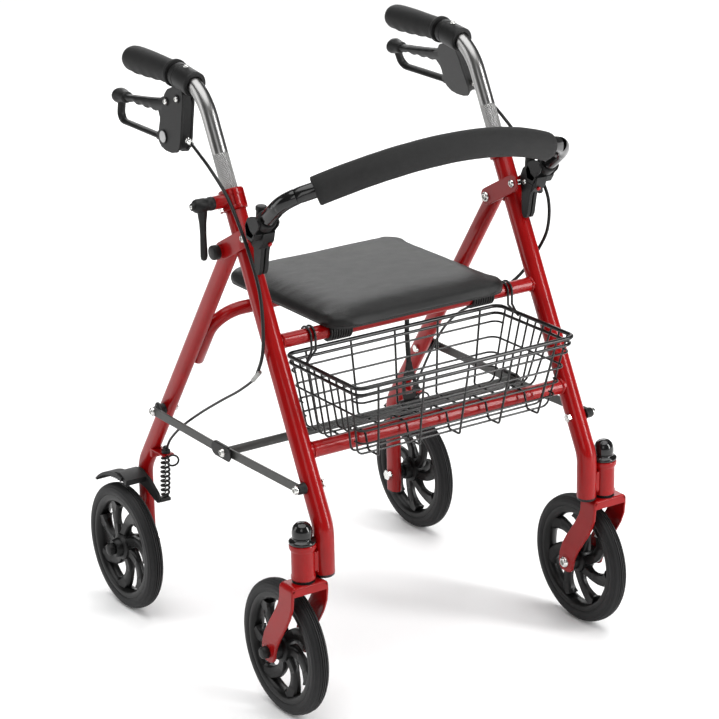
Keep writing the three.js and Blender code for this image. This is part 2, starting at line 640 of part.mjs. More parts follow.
// ---------------------------------------------------------------- seat, backrest, basket
function roundedSquare(inset, radius) {
  const [x, y0, y1] = [SEAT_HALF - inset, SEAT_FRONT + inset, SEAT_BACK - inset];
  const r = radius;
  const shape = new THREE.Shape();
  shape.moveTo(-x + r, y0);
  shape.lineTo(x - r, y0);
  shape.quadraticCurveTo(x, y0, x, y0 + r);
  shape.lineTo(x, y1 - r);
  shape.quadraticCurveTo(x, y1, x - r, y1);
  shape.lineTo(-x + r, y1);
  shape.quadraticCurveTo(-x, y1, -x, y1 - r);
  shape.lineTo(-x, y0 + r);
  shape.quadraticCurveTo(-x, y0, -x + r, y0);
  return shape;
}

function seatBoard() {
  const board = new THREE.ExtrudeGeometry(roundedSquare(2, 26),
    { depth: BOARD_T, bevelEnabled: false, curveSegments: 4 });
  board.translate(0, 0, BOARD_Z);
  const clips = [];
  for (const x of [-118, 118]) {
    clips.push(pin(x - 16, x + 16, SEAT_TUBE, 14.5, 14));
    clips.push(box(x - 16, x + 16, SEAT_TUBE[0] - 12, SEAT_TUBE[0] + 12, SEAT_TUBE[1], BOARD_Z + 1));
  }
  return build([board, ...clips], [lateralTube(SEAT_TUBE, 10 + GAP, LEG_X)]);
}

function seatPad() {
  const bevel = 5;
  const pad = new THREE.ExtrudeGeometry(roundedSquare(bevel, 24), {
    depth: 3, bevelEnabled: true, bevelThickness: bevel, bevelSize: bevel, bevelSegments: 3,
    curveSegments: 4,
  });
  return pad.translate(0, 0, BOARD_Z + BOARD_T + GAP + bevel);
}

// The backrest bar lies in a plane that rises towards the front.
const onBar = (x, along) => V(x, BAR_ROOT[0] - Math.cos(BAR_RISE) * along,
  BAR_ROOT[1] + Math.sin(BAR_RISE) * along);

function barRoute() {
  const corners = [onBar(-BAR_HALF, -6), onBar(-BAR_HALF, 62)];
  for (const x of [-140, -50, 50, 140]) corners.push(onBar(x, 130 - 61 * (x / 190) ** 2));
  corners.push(onBar(BAR_HALF, 62), onBar(BAR_HALF, -6));
  return new Route(corners, 36, 2, V(0, Math.sin(BAR_RISE), Math.cos(BAR_RISE)));
}

function backrestBar() {
  const tube = sweep(barRoute(), disc(BAR_R), 5);
  const bore = SIDES.map(([, s]) => pin(s * (BAR_HALF - 20), s * (BAR_HALF + 20), BAR_ROOT, 3.4));
  return build([tube], bore);
}

function backrestFoam() {
  const corners = [];
  for (const x of [-184, -140, -50, 50, 140, 184]) corners.push(onBar(x, 130 - 61 * (x / 190) ** 2));
  const route = new Route(corners, 120, 1, V(0, Math.sin(BAR_RISE), Math.cos(BAR_RISE)));
  return build([sweep(route, disc(FOAM_R), 6)], [sweep(barRoute(), disc(BAR_R + GAP + 0.3), 5)]);
}

function backrestBracket(s) {
  const body = plate(outline([[-75, 667], [-60, 640], [-75, 640], [-90, 628], [-108, 654],
    [-120, 664], [-114, 684], [-96, 690]]), s * (LEG_X - 6), s * (LEG_X + 17.5));
  const socket = plate(outline([[-90, 656], [-108, 654], [-122, 664], [-116, 686], [-96, 691],
    [-88, 680]]), s * (BAR_HALF - 16), s * (BAR_HALF + 16));
  const stub = plate(outline([[-74, 664], [-66, 676], [-78, 690], [-90, 688], [-92, 676]]),
    s * (LEG_X - 6), s * (LEG_X + 8));
  const finger = plate(outline([[-78, 645], [-70, 600], [-78, 592], [-88, 596], [-96, 640]]),
    s * (LEG_X - 4), s * (LEG_X + 10));
  const room = plate(linkShape(BAR_ROOT, [BAR_ROOT[0] - 60, BAR_ROOT[1] + 50], BAR_R + 1.2),
    s * (BAR_HALF - BAR_R - 0.6), s * (BAR_HALF + BAR_R + 0.6), 8);
  const [rootY, rootZ] = BAR_ROOT;
  const swing = plate(outline([[rootY - 60, rootZ], [rootY, rootZ - 13], [rootY + 13, rootZ],
    [rootY + 6, rootZ + 60], [rootY - 60, rootZ + 60]]),
    s * (BAR_HALF - BAR_R - 0.6), s * (BAR_HALF + BAR_R + 0.6));
  const hinge = pin(s * (BAR_HALF - 14), s * (BAR_HALF + 14.5), BAR_ROOT, 3);
  const webRoom = pin(s * (LEG_X - 30), s * (LEG_X + 30), LUG, 14.5, 12);
  const cheeks = build([body, socket, stub, finger], [room, swing, webRoom]);
  return build([cheeks, hinge]);
}

function basket() {
  const parts = [];
  const h = WIRE / 2;
  const [y0, y1] = BASKET_Y;
  const half = BASKET_HALF;
  const bar = (x0, x1, ya, yb, za, zb) => parts.push(box(x0, x1, ya, yb, za, zb));
  const rimAt = (z, t) => {
    bar(-half - t, half + t, y0 - t, y0 + t, z - t, z + t);
    bar(-half - t, half + t, y1 - t, y1 + t, z - t, z + t);
    bar(-half - t, -half + t, y0 - t, y1 + t, z - t, z + t);
    bar(half - t, half + t, y0 - t, y1 + t, z - t, z + t);
  };
  rimAt(RIM_Z, h + 0.7);
  const lift = CROSS_TUBE[1] + 11 + 3;
  const lateral = 5;
  for (let i = 0; i <= lateral; i++) {
    const y = y0 + 6 + (y1 - y0 - 12) * i / lateral;
    const over = Math.abs(y - CROSS_TUBE[0]) < 22;
    const z = over ? lift + h : BASKET_BOTTOM;
    bar(-half - h, half + h, y - h, y + h, z - h, z + h);
    for (const x of [-half, half]) bar(x - h, x + h, y - h, y + h, z - h, RIM_Z);
  }
  const t = h - 0.3;
  for (let i = -2; i <= 2; i++) {
    const x = i * 73;
    const [c0, c1] = [CROSS_TUBE[0] - 22, CROSS_TUBE[0] + 22];
    bar(x - t, x + t, y0 - t, c0 + t, BASKET_BOTTOM - t, BASKET_BOTTOM + t);
    bar(x - t, x + t, c0 - t, c0 + t, BASKET_BOTTOM - t, lift + h + t);
    bar(x - t, x + t, c0 - t, c1 + t, lift + h - t, lift + h + t);
    bar(x - t, x + t, c1 - t, c1 + t, BASKET_BOTTOM - t, lift + h + t);
    bar(x - t, x + t, c1 - t, y1 + t, BASKET_BOTTOM - t, BASKET_BOTTOM + t);
    for (const y of [y0, y1]) bar(x - t, x + t, y - t, y + t, BASKET_BOTTOM - t, RIM_Z);
  }
  const u = h - 0.15;
  const middle = BASKET_BOTTOM + 48;
  for (const y of [y0, y1]) bar(-half - u, half + u, y - u, y + u, middle - u, middle + u);
  for (const x of [-half, half]) bar(x - u, x + u, y0 - u, y1 + u, middle - u, middle + u);
  // Hooks over the tube under the seat.
  for (const x of [-163, 163]) {
    const clear = 10 + GAP + h;
    const top = SEAT_TUBE[1] + clear;
    const [ya, yb] = [SEAT_TUBE[0] - clear, SEAT_TUBE[0] + clear];
    bar(x - h, x + h, ya - h, yb + h, top - h, top + h);
    bar(x - h, x + h, yb - h, yb + h, SEAT_TUBE[1] - 8, top + h);
    bar(x - h, x + h, ya - h, ya + h, RIM_Z - 2, top + h);
    const end = Math.sign(x) * half;
    bar(x - h, end + h * Math.sign(x), ya - h, ya + h, RIM_Z - 1.1, RIM_Z + 1.7);
  }
  return build(parts);
}

// ---------------------------------------------------------------- assembly
for (const [side, s] of SIDES) {
  add(`front_leg_${side}`, frontLeg(s), RED);
  add(`fold_bracket_${side}`, bracket(s), RED);
  add(`fold_bolt_${side}`, foldBolt(s), ZINC);
  add(`leg_clamp_${side}`, legClamp(s), RED);
  add(`clamp_lever_${side}`, clampLever(s), BLACK);
  add(`caster_housing_${side}`, casterHousing(s), RED);
  add(`caster_cap_${side}`, casterCap(s), BLACK);
  add(`handle_tube_${side}`, handleRoute(s, 0), ZINC);
  add(`grip_${side}`, grip(s), BLACK);
  add(`brake_housing_${side}`, brakeHousing(s), BLACK);
  add(`brake_lever_${side}`, brakeLever(s), BLACK);
  add(`brake_cable_${side}`, brakeCable(s), BLACK);
  add(`fork_${side}`, fork(s), RED);
  add(`front_axle_${side}`, frontAxle(s), ZINC);
  add(`front_wheel_${side}`, wheel(s * FRONT_WHEEL_X, FRONT_AXLE, 23.5, 4.4), BLACK);
  add(`front_tyre_${side}`, tyre(s * FRONT_WHEEL_X, FRONT_AXLE), TYRE);
  add(`rear_leg_${side}`, rearLeg(s), RED);
  add(`rear_axle_${side}`, rearAxle(s), ZINC);
  add(`rear_wheel_${side}`, wheel(s * REAR_WHEEL_X, REAR_AXLE, 22, 5.5), BLACK);
  add(`rear_tyre_${side}`, tyre(s * REAR_WHEEL_X, REAR_AXLE), TYRE);
  add(`brake_arm_${side}`, brakeArm(s), BLACK);
  add(`brake_spring_${side}`, brakeSpring(s), DARK_STEEL);
  add(`front_strut_${side}`, frontStrut(s), DARK_STEEL);
  add(`rear_strut_${side}`, rearStrut(s), DARK_STEEL);
  add(`backrest_bracket_${side}`, backrestBracket(s), BLACK);
}
add('seat_tube', crossTube(SEAT_TUBE, 10), RED);
add('cross_tube', crossTube(CROSS_TUBE, 11), RED);
add('rear_arch', rearArch(), RED);
add('strut_crossbar', lateralTube(STRUT_MID, 6, STRUT_IN - GAP), DARK_STEEL);
add('pull_strap', pullStrap(), BLACK);
add('seat_board', seatBoard(), BLACK);
add('seat_pad', seatPad(), VINYL);
add('backrest_bar', backrestBar(), WIRE_BLACK);
add('backrest_foam', backrestFoam(), FOAM);
add('basket', basket(), WIRE_BLACK);

group.position.set(0, SHIFT_Y, 0);
export default group;
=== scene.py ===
import math

import bmesh
import bpy
from mathutils import Matrix, Vector, noise


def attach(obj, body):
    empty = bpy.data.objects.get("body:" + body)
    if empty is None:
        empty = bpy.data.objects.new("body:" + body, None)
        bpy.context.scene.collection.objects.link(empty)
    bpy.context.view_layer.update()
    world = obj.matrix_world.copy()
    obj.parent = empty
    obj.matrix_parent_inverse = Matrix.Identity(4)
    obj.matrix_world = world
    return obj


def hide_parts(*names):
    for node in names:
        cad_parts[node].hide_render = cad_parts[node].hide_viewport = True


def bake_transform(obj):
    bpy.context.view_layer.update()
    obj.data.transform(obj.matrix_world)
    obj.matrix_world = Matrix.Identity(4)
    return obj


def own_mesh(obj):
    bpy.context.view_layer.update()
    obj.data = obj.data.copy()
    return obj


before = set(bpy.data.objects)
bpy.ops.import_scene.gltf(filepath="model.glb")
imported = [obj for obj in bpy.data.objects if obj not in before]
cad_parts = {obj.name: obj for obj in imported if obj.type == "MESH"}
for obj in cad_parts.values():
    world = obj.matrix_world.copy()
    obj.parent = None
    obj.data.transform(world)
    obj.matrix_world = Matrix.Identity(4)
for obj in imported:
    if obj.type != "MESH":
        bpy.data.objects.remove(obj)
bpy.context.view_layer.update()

# The rollator's visible pieces. Sizes are millimetres, and at_frame brings them into the frame.
MM = 0.001
SHIFT_Y = -55.5       # from the drawing's origin to the middle of the frame's box
SIDES = (("right", -1), ("left", 1))

WHEEL_R, SPOKES = 95, 7
LEG_X, LEG_R = 220, 14
LEG_TOP, LEG_KNEE, LEG_FOOT_Z = (-4, 690), (-212, 277), 215
TUBE_R, GRIP_Z, GRIP_TO = 11, 826, 258
STEM = (252, -210)
FRONT_AXLE, REAR_AXLE = (-160, WHEEL_R), (271, WHEEL_R)
FRONT_WHEEL_X, REAR_WHEEL_X = 252, 258
FOLD, LUG = (1, 608.5), (-60, 641)
REAR_KNEE, REAR_FOOT_Z, OVAL = (271, 215), 68, (27, 17)
STRUT_FRONT, STRUT_MID, STRUT_REAR = (-189, 329), (-5, 325), (191.5, 326)
STRUT_IN, STRUT_T, STRUT_H = 239.5, 3, 13
SEAT_TUBE, CROSS_TUBE = (-97, 502), (-166, 369)
SEAT_HALF, SEAT_FRONT, SEAT_BACK, BOARD_Z, BOARD_T = 148, -140, 156, 514, 5
BAR_ROOT, BAR_RISE, BAR_R, BAR_HALF, FOAM_R = (-104, 672), math.radians(40), 11, 229, 20
TILT = {-1: math.radians(1), 1: math.radians(25)}   # outward lean of each brake
BRAKE_PIN, STOP = (271, 199), (207, 254)
RIM_Z, BASKET_BOTTOM, BASKET_HALF, BASKET_Y = 468, 362, 178, (-238, -62)


def V(x, y, z):
    return Vector((x, y, z))


def at_frame(p):
    """A point in millimetres, in the frame's metres."""
    return V(p[0], p[1] + SHIFT_Y, p[2]) * MM


# ------------------------------------------------------------------ materials
def plug(tree, n, inputs):
    """Gives each input a value, or links it to another node's output."""
    for key, value in inputs.items():
        if isinstance(value, bpy.types.NodeSocket):
            tree.links.new(value, n.inputs[key])
        else:
            n.inputs[key].default_value = value


def node(tree, kind, inputs=None, **settings):
    n = tree.nodes.new(kind)
    for key, value in settings.items():
        setattr(n, key, value)
    plug(tree, n, inputs or {})
    return n


TEXTURES = {"cells": ("ShaderNodeTexVoronoi", "Distance", {}, {"feature": "SMOOTH_F1"}),
            "pits": ("ShaderNodeTexVoronoi", "Distance", {}, {"feature": "DISTANCE_TO_EDGE"}),
            "noise": ("ShaderNodeTexNoise", "Fac", {"Detail": 4.0}, {})}
ROUGH_SPREAD = 0.06   # how far roughness varies each way between patches


def material(name, color, rough, metal=0.0, spread=0.12, patch=60.0, bumps=(), coat=0.0,
             coat_rough=0.08, specular=0.22):
    """A procedural finish: colour (or a grey level) and roughness vary in patches, and bumps
    are stacked. A bump is (texture, scale per metre, strength, depth in metres)."""
    rgb = (color,) * 3 if isinstance(color, float) else color
    m = bpy.data.materials.new(name)
    m.use_nodes = True
    t = m.node_tree
    b = t.nodes["Principled BSDF"]
    where = node(t, "ShaderNodeTexCoord").outputs["Object"]
    cloud = node(t, "ShaderNodeTexNoise", {"Vector": where, "Scale": patch, "Detail": 6.0,
                                           "Roughness": 0.6}).outputs["Fac"]
    ramp = node(t, "ShaderNodeValToRGB", {"Fac": cloud})
    low, high = ramp.color_ramp.elements
    low.position, high.position = 0.3, 0.7
    low.color = [max(0.0, c * (1 - spread)) for c in rgb] + [1]
    high.color = [min(1.0, c * (1 + spread)) for c in rgb] + [1]
    spot = node(t, "ShaderNodeMapRange", {"Value": cloud, "To Min": max(0.02, rough - ROUGH_SPREAD),
                                          "To Max": min(1.0, rough + ROUGH_SPREAD)})
    plug(t, b, {"Metallic": metal, "Coat Weight": coat, "Coat Roughness": coat_rough,
                "Specular IOR Level": specular, "Base Color": ramp.outputs["Color"],
                "Roughness": spot.outputs["Result"]})
    for texture, scale, strength, depth in bumps:
        kind, output, inputs, settings = TEXTURES[texture]
        tex = node(t, kind, {"Vector": where, "Scale": scale, **inputs}, **settings)
        bump = node(t, "ShaderNodeBump", {"Strength": strength, "Distance": depth,
                                          "Height": tex.outputs[output]})
        for link_before in b.inputs["Normal"].links:
            plug(t, bump, {"Normal": link_before.from_socket})
        plug(t, b, {"Normal": bump.outputs["Normal"]})
    return m


def knurled(name):
    """Satin steel with a diamond pattern up to KNURL_TO along the tube (UV u is metres)."""
    m = material(name, (0.33, 0.327, 0.322), 0.3, 1.0, 0.08, 40, [("noise", 900, 0.15, 0.0003)])
    t = m.node_tree
    b = t.nodes["Principled BSDF"]
    uv = node(t, "ShaderNodeUVMap", uv_map="UVMap")
    split = node(t, "ShaderNodeSeparateXYZ", {"Vector": uv.outputs["UV"]})
    along, around = split.outputs["X"], split.outputs["Y"]

    def calculate(operation, *values):
        return node(t, "ShaderNodeMath", dict(enumerate(values)), operation=operation).outputs[0]
    waves = []
    for sign in (1.0, -1.0):
        slant = calculate("MULTIPLY_ADD", around, sign, along)
        waves.append(calculate("SINE", calculate("MULTIPLY", slant, 2 * math.pi / KNURL_PITCH)))
    band = node(t, "ShaderNodeMapRange", {"Value": along, "From Min": KNURL_TO + 0.003,
                                          "From Max": KNURL_TO}, interpolation_type="SMOOTHSTEP")
    height = calculate("MULTIPLY", calculate("MAXIMUM", *waves), band.outputs["Result"])
    bump = node(t, "ShaderNodeBump", {"Strength": 0.9, "Distance": 0.0006, "Height": height,
                                      "Normal": b.inputs["Normal"].links[0].from_socket})
    # The grooves between the diamonds are darkened in the base colour: painted shade.
    shade = node(t, "ShaderNodeMapRange", {"Value": height, "From Min": -1.0, "To Min": 0.35})
    mix = node(t, "ShaderNodeMix", {"Factor": 0.6, "A": b.inputs["Base Color"].links[0].from_socket,
                                    "B": shade.outputs["Result"]},
               data_type="RGBA", blend_type="MULTIPLY")
    plug(t, b, {"Normal": bump.outputs["Normal"], "Base Color": mix.outputs["Result"]})
    return m


KNURL_TO = 0.262      # metres up the handle tube from its lower end
KNURL_PITCH = 0.0034
RED = material("red", (0.25, 0.0012, 0.0016), 0.36, 0, 0.1, 35, [("cells", 2600, 0.05, 0.0002)],
               coat=0.3, coat_rough=0.09, specular=0.12)
PLASTIC = material("black_plastic", 0.009, 0.45, 0, 0.2, 90,
                   [("noise", 1500, 0.18, 0.0003)])
GRIP = material("grip_rubber", 0.011, 0.62, 0, 0.25, 120,
                [("cells", 1100, 0.35, 0.0005), ("noise", 3000, 0.2, 0.0003)])
STEEL = material("dark_steel", (0.06, 0.06, 0.058), 0.42, 0.4, 0.15, 60,
                 [("noise", 2200, 0.12, 0.0002)])
GLOSS = material("black_gloss", 0.005, 0.18, 0, 0.2, 40,
                 [("noise", 500, 0.04, 0.0003)], coat=0.5)
WIRE = material("basket_wire", 0.004, 0.3, 0, 0.2, 40,
                [("noise", 900, 0.08, 0.0002)], coat=0.3)
CABLE = material("cable", 0.007, 0.32, 0, 0.15, 60, [("noise", 700, 0.05, 0.0002)])
ZINC = material("zinc", (0.66, 0.66, 0.64), 0.24, 1.0, 0.12, 150, [("noise", 1200, 0.1, 0.0002)])
FERRULE = material("ferrule", (0.32, 0.32, 0.31), 0.4, 0.4, 0.12, 150,
                   [("noise", 1500, 0.1, 0.0002)])
TYRE = material("tyre", (0.012, 0.012, 0.0125), 0.55, 0, 0.14, 70,
                [("noise", 1300, 0.3, 0.0005), ("noise", 160, 0.1, 0.0008)])
HUB = material("wheel_plastic", 0.004, 0.34, 0, 0.2, 60,
               [("noise", 900, 0.12, 0.0003)])
VINYL = material("vinyl", (0.010, 0.010, 0.0098), 0.44, 0, 0.18, 45,
                 [("cells", 900, 0.42, 0.0006), ("noise", 2600, 0.2, 0.0003),
                  ("noise", 45, 0.12, 0.002)])
FOAM = material("foam", 0.014, 0.72, 0, 0.16, 120,
                [("pits", 1500, 0.5, 0.0006), ("noise", 400, 0.2, 0.0008)])
BOARD = material("board", 0.02, 0.5, 0, 0.15, 60, [("noise", 700, 0.2, 0.0005)])
BADGE = material("badge", 0.42, 0.3, 0.3, 0.1, 150, [("noise", 900, 0.08, 0.0002)])
KNURL = knurled("knurled_tube")


# ------------------------------------------------------------------ shapes
def circle(sides):
    return [(math.cos(2 * math.pi * k / sides), math.sin(2 * math.pi * k / sides))
            for k in range(sides)]


def stadium(length, width, steps=8):
    r, half = width / 2, length / 2 - width / 2
    pts = []
    for k in range(steps + 1):
        a = -math.pi / 2 + math.pi * k / steps
        pts.append((half + r * math.cos(a), r * math.sin(a)))
    return pts + [(-x, -y) for x, y in pts]


def mirrored(half):
    """Half a profile of [radius, along] points, and its mirror image."""
    return half + [(r, -h) for r, h in reversed(half)]


def rounded_rectangle(x, y0, y1, radius, steps=8):
    """A rectangle from -x to x and from y0 to y1."""
    pts = []
    for cx, cy, start in ((x - radius, y0 + radius, -90), (x - radius, y1 - radius, 0),
                          (-x + radius, y1 - radius, 90), (-x + radius, y0 + radius, 180)):
        for k in range(steps + 1):
            a = math.radians(start + 90 * k / steps)
            pts.append((cx + radius * math.cos(a), cy + radius * math.sin(a)))
    return pts


def route(corners, radius, steps=10):
    """Straight runs with rounded corners."""
    out = [corners[0]]
    for a, b, c in zip(corners, corners[1:], corners[2:]):
        inward, outward = (b - a).normalized(), (c - b).normalized()
        turn = inward.angle(outward)
        if turn < 1e-3:
            continue
        start = b - inward * radius * math.tan(turn / 2)
        centre = b + (outward - inward).normalized() * radius / math.cos(turn / 2)
        axis = inward.cross(outward).normalized()
        for k in range(steps + 1):
            out.append(centre + Matrix.Rotation(turn * k / steps, 3, axis) @ (start - centre))
    return out + [corners[-1]]


def curve(points, per=6):
    """A smooth line through points."""
    p = [2 * points[0] - points[1]] + list(points) + [2 * points[-1] - points[-2]]
    out = []
    for i in range(1, len(p) - 2):
        for k in range(per):
            t = k / per
            out.append(0.5 * (2 * p[i] + (p[i + 1] - p[i - 1]) * t
                              + (2 * p[i - 1] - 5 * p[i] + 4 * p[i + 1] - p[i + 2]) * t * t
                              + (3 * p[i] - p[i - 1] - 3 * p[i + 1] + p[i + 2]) * t ** 3))
    return out + [points[-1]]


class Solid:
    """Closed shells gathered into one mesh, in millimetres."""

    def __init__(self):
        self.verts, self.faces, self.uvs = [], [], []

    def shell(self, rings, closed=False, uv=None):
        """Joins rings of equal length, and closes both ends unless the rings meet."""
        base, n, count = len(self.verts), len(rings[0]), len(rings)
        for ring in rings:
            self.verts += ring
        for i in range(count if closed else count - 1):
            j = (i + 1) % count
            for k in range(n):
                m = (k + 1) % n
                self.faces.append([base + i * n + k, base + i * n + m, base + j * n + m,
                                   base + j * n + k])
                if uv:
                    self.uvs.append([uv(i, k), uv(i, k + 1), uv(i + 1, k + 1), uv(i + 1, k)])
                else:
                    self.uvs.append([(0, 0)] * 4)
        if not closed:
            self.faces.append([base + k for k in reversed(range(n))])
            self.faces.append([base + (count - 1) * n + k for k in range(n)])
            self.uvs += [[(0, 0)] * n, [(0, 0)] * n]
        return self

    def tube(self, path, r, section=None, side=None, chamfer=0.0, sides=28):
        """Sweeps a section (circle by default) of scale r along a path; r may be a list."""
        section = section or circle(sides)
        radii = list(r) if isinstance(r, (list, tuple)) else [r] * len(path)
        path = list(path)
        if chamfer:
            a, b = (path[0] - path[1]).normalized(), (path[-1] - path[-2]).normalized()
            for turn in (0.55, 1.0):
                back, cut = chamfer * math.sin(turn * math.pi / 2), chamfer * (
                    1 - math.cos(turn * math.pi / 2))
                path = [path[0] + a * back * 0.5] + path + [path[-1] + b * back * 0.5]
                radii = [radii[0] - cut * 0.6] + radii + [radii[-1] - cut * 0.6]
        tangents = []
        for i in range(len(path)):
            before, after = path[max(i - 1, 0)], path[min(i + 1, len(path) - 1)]
            here = (path[i] - before).normalized() + (after - path[i]).normalized()
            tangents.append(here.normalized())
        ref = (side or (V(1, 0, 0) if abs(tangents[0].x) < 0.8 else V(0, 0, 1))).copy()
        rings, far, lengths = [], 0.0, []
        for i, t in enumerate(tangents):
            ref = (ref - t * ref.dot(t)).normalized()
            up = ref.cross(t)
            rings.append([path[i] + (up * v + ref * u) * radii[i] for u, v in section])
            if i:
                far += (path[i] - path[i - 1]).length
            lengths.append(far)
        n = len(section)
        around = 2 * math.pi * radii[0] / n
        return self.shell(rings, uv=lambda i, k: (lengths[i] * MM, around * k * MM))

    def rod(self, a, b, r, chamfer=0.0, sides=28, r2=None):
        return self.tube([a, b], [r, r if r2 is None else r2], chamfer=chamfer, sides=sides)

    def pin(self, x0, x1, at, r, chamfer=0.0):
        """A rod along X through (y, z)."""
        return self.rod(V(x0, *at), V(x1, *at), r, chamfer)

    def lathe(self, profile, a, d, sides=48, closed=False):
        """Turns [radius, along] points about the line from a along d."""
        d = d.normalized()
        ref = V(0, 0, 1) if abs(d.z) < 0.8 else V(1, 0, 0)
        u = (ref - d * ref.dot(d)).normalized()
        w = d.cross(u)
        rings = [[a + d * h + (u * c + w * s) * max(r, 0.01) for c, s in circle(sides)]
                 for r, h in profile]
        return self.shell(rings, closed=closed)

    def disc(self, profile, x, at, out, sides=48, closed=False):
        """Turns [radius, along] points about the line that leaves (y, z) at x along X."""
        return self.lathe(profile, V(x, *at), V(out, 0, 0), sides, closed)

    def plate(self, points, x0, x1):
        """An outline of (y, z) points between x0 and x1."""
        return self.shell([[V(x0, y, z) for y, z in points], [V(x1, y, z) for y, z in points]])

    def box(self, x0, x1, y0, y1, z0, z1):
        return self.plate([(y0, z0), (y1, z0), (y1, z1), (y0, z1)], x0, x1)

    def bolt(self, x, at, out, r=5.5, h=3.5):
        """A button head with a socket, at (y, z), facing out along X."""
        return self.disc([(0, -1), (r, -1), (r, h * 0.35), (r * 0.86, h * 0.75), (r * 0.6, h),
                          (r * 0.45, h), (r * 0.43, h * 0.35), (0, h * 0.3)], x, at, out, 32)

    def nut(self, x, at, out, r=6, h=4):
        hexagon = [(at[0] + r * math.cos(math.pi * k / 3), at[1] + r * math.sin(math.pi * k / 3))
                   for k in range(6)]
        return self.plate(hexagon, x, x + out * h)

    def move(self, matrix):
        self.verts = [matrix @ v for v in self.verts]
        return self


def piece(name, solid, mat, body, replaces=(), bevel=0.0, segments=3, sharp=40):
    mesh = bpy.data.meshes.new(name)
    mesh.from_pydata([at_frame(v) for v in solid.verts], [], solid.faces)
    layer = mesh.uv_layers.new(name="UVMap")
    flat = [uv for face in solid.uvs for uv in face]
    for i, uv in enumerate(flat):
        layer.data[i].uv = uv
    bm = bmesh.new()
    bm.from_mesh(mesh)
    bmesh.ops.recalc_face_normals(bm, faces=bm.faces)
    bm.to_mesh(mesh)
    bm.free()
    obj = bpy.data.objects.new(name, mesh)
    bpy.context.collection.objects.link(obj)
    for p in mesh.polygons:
        p.use_smooth = True
    if bevel:
        mod = obj.modifiers.new("bevel", "BEVEL")
        mod.width, mod.segments, mod.limit_method = bevel * MM, segments, "ANGLE"
        mod.angle_limit = math.radians(32)
        normals = obj.modifiers.new("normals", "WEIGHTED_NORMAL")
        normals.keep_sharp = True
    else:
        mesh.set_sharp_from_angle(angle=math.radians(sharp))
    obj.data.materials.append(mat)
    if body:
        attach(obj, body)
    if replaces:
        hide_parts(*replaces)
    return obj


# ------------------------------------------------------------------ shared geometry
def direction(a, b):
    return V(0, b[0] - a[0], b[1] - a[1]).normalized()


LEG_UP = direction(LEG_KNEE, LEG_TOP)
REAR_UP = direction(REAR_KNEE, FOLD)


def leg_y(z):
    return LEG_TOP[0] + (z - LEG_TOP[1]) * LEG_UP.y / LEG_UP.z


def leg_at(x, z):
    return V(x, leg_y(z), z)


CLAMP_AT = (leg_y(680), 680)   # y, z of the clamp's screw


def rear_y(z):
    return REAR_KNEE[0] + (z - REAR_KNEE[1]) * REAR_UP.y / REAR_UP.z


def link(a, b, r, steps=10):
    """The outline of a flat link with round ends."""
    along = math.atan2(b[1] - a[1], b[0] - a[0])
    pts = []
    for centre, start in ((b, along - math.pi / 2), (a, along + math.pi / 2)):
        for k in range(steps + 1):
            t = start + math.pi * k / steps
            pts.append((centre[0] + r * math.cos(t), centre[1] + r * math.sin(t)))
    return pts


# ------------------------------------------------------------------ front frame
def front_leg(side, s):
    x = s * LEG_X
    leg = Solid().tube(route([V(x, *LEG_TOP), V(x, *LEG_KNEE), V(x, LEG_KNEE[0], LEG_FOOT_Z)], 55,
                             12), LEG_R, chamfer=0.8, sides=40)
    piece(f"front_leg_tube_{side}", leg, RED, "front_frame", [f"front_leg_{side}"])
    plug = Solid().lathe([(0, -5), (LEG_R - 2.5, -5), (LEG_R - 0.5, -3), (LEG_R - 0.2, 0),
                          (0, 0.4)], V(x, LEG_KNEE[0], LEG_FOOT_Z), V(0, 0, 1))
    piece(f"leg_plug_{side}", plug, PLASTIC, "front_frame")
    spacer = Solid().disc([(4, 0), (8, 0), (8.2, 1), (7.2, 3), (7.2, 9), (6.8, 11.2), (4, 11.2)],
                          s * (LEG_X + LEG_R - 0.6), STRUT_FRONT, s, closed=True)
    piece(f"strut_spacer_{side}", spacer, PLASTIC, "front_frame")
    bolts = Solid().bolt(s * (STRUT_IN + STRUT_T + 4.2), STRUT_FRONT, s, 6, 4)
    bolts.pin(s * (LEG_X - 19), s * (STRUT_IN + 8), STRUT_FRONT, 3.4)
    bolts.nut(s * (LEG_X - LEG_R + 0.6), STRUT_FRONT, -s, 6.4, 4.6)
    piece(f"strut_front_bolt_{side}", bolts, ZINC, "front_frame", bevel=0.3)


def leg_clamp(side, s):
    x = s * LEG_X
    top = leg_at(x, LEG_TOP[1] + 2)
    # A flanged sleeve with three lengthwise ribs.
    sleeve = Solid()
    profile = [(LEG_R + 0.2, 0), (LEG_R + 2.6, 0), (LEG_R + 3.2, 1), (LEG_R + 3.2, 4),
               (LEG_R + 2.1, 5), (LEG_R + 2.1, 19), (LEG_R + 2.9, 20), (LEG_R + 3.1, 26),
               (LEG_R + 2.4, 28), (TUBE_R + 0.8, 28), (TUBE_R + 0.8, 24), (LEG_R + 0.2, 22)]
    low = top - LEG_UP * 28
    sleeve.lathe(profile, low, LEG_UP, 56, closed=True)
    upright = V(0, 0, 1).rotation_difference(LEG_UP).to_matrix().to_4x4()
    for k in range(3):
        spin = Matrix.Rotation(math.radians(52 * k - 14), 4, LEG_UP)
        rib = Solid().box(-1.6, 1.6, -LEG_R - 4.3, -LEG_R - 0.9, -12, 11)
        rib.move(Matrix.Translation(low + LEG_UP * 15) @ spin @ upright)
        sleeve.shell([rib.verts[:4], rib.verts[4:]])
    sleeve.rod(V(s * (LEG_X + LEG_R - 3), *CLAMP_AT), V(s * (LEG_X + 30), *CLAMP_AT), 10, 1.2, r2=9)
    piece(f"clamp_sleeve_{side}", sleeve, RED, "front_frame", [f"leg_clamp_{side}"], bevel=0.5)
    nut = Solid().nut(s * (LEG_X + 19), (CLAMP_AT[0] - 3, 668.5), s, 4.5, 4)
    piece(f"clamp_nut_{side}", nut, ZINC, "front_frame", bevel=0.5)


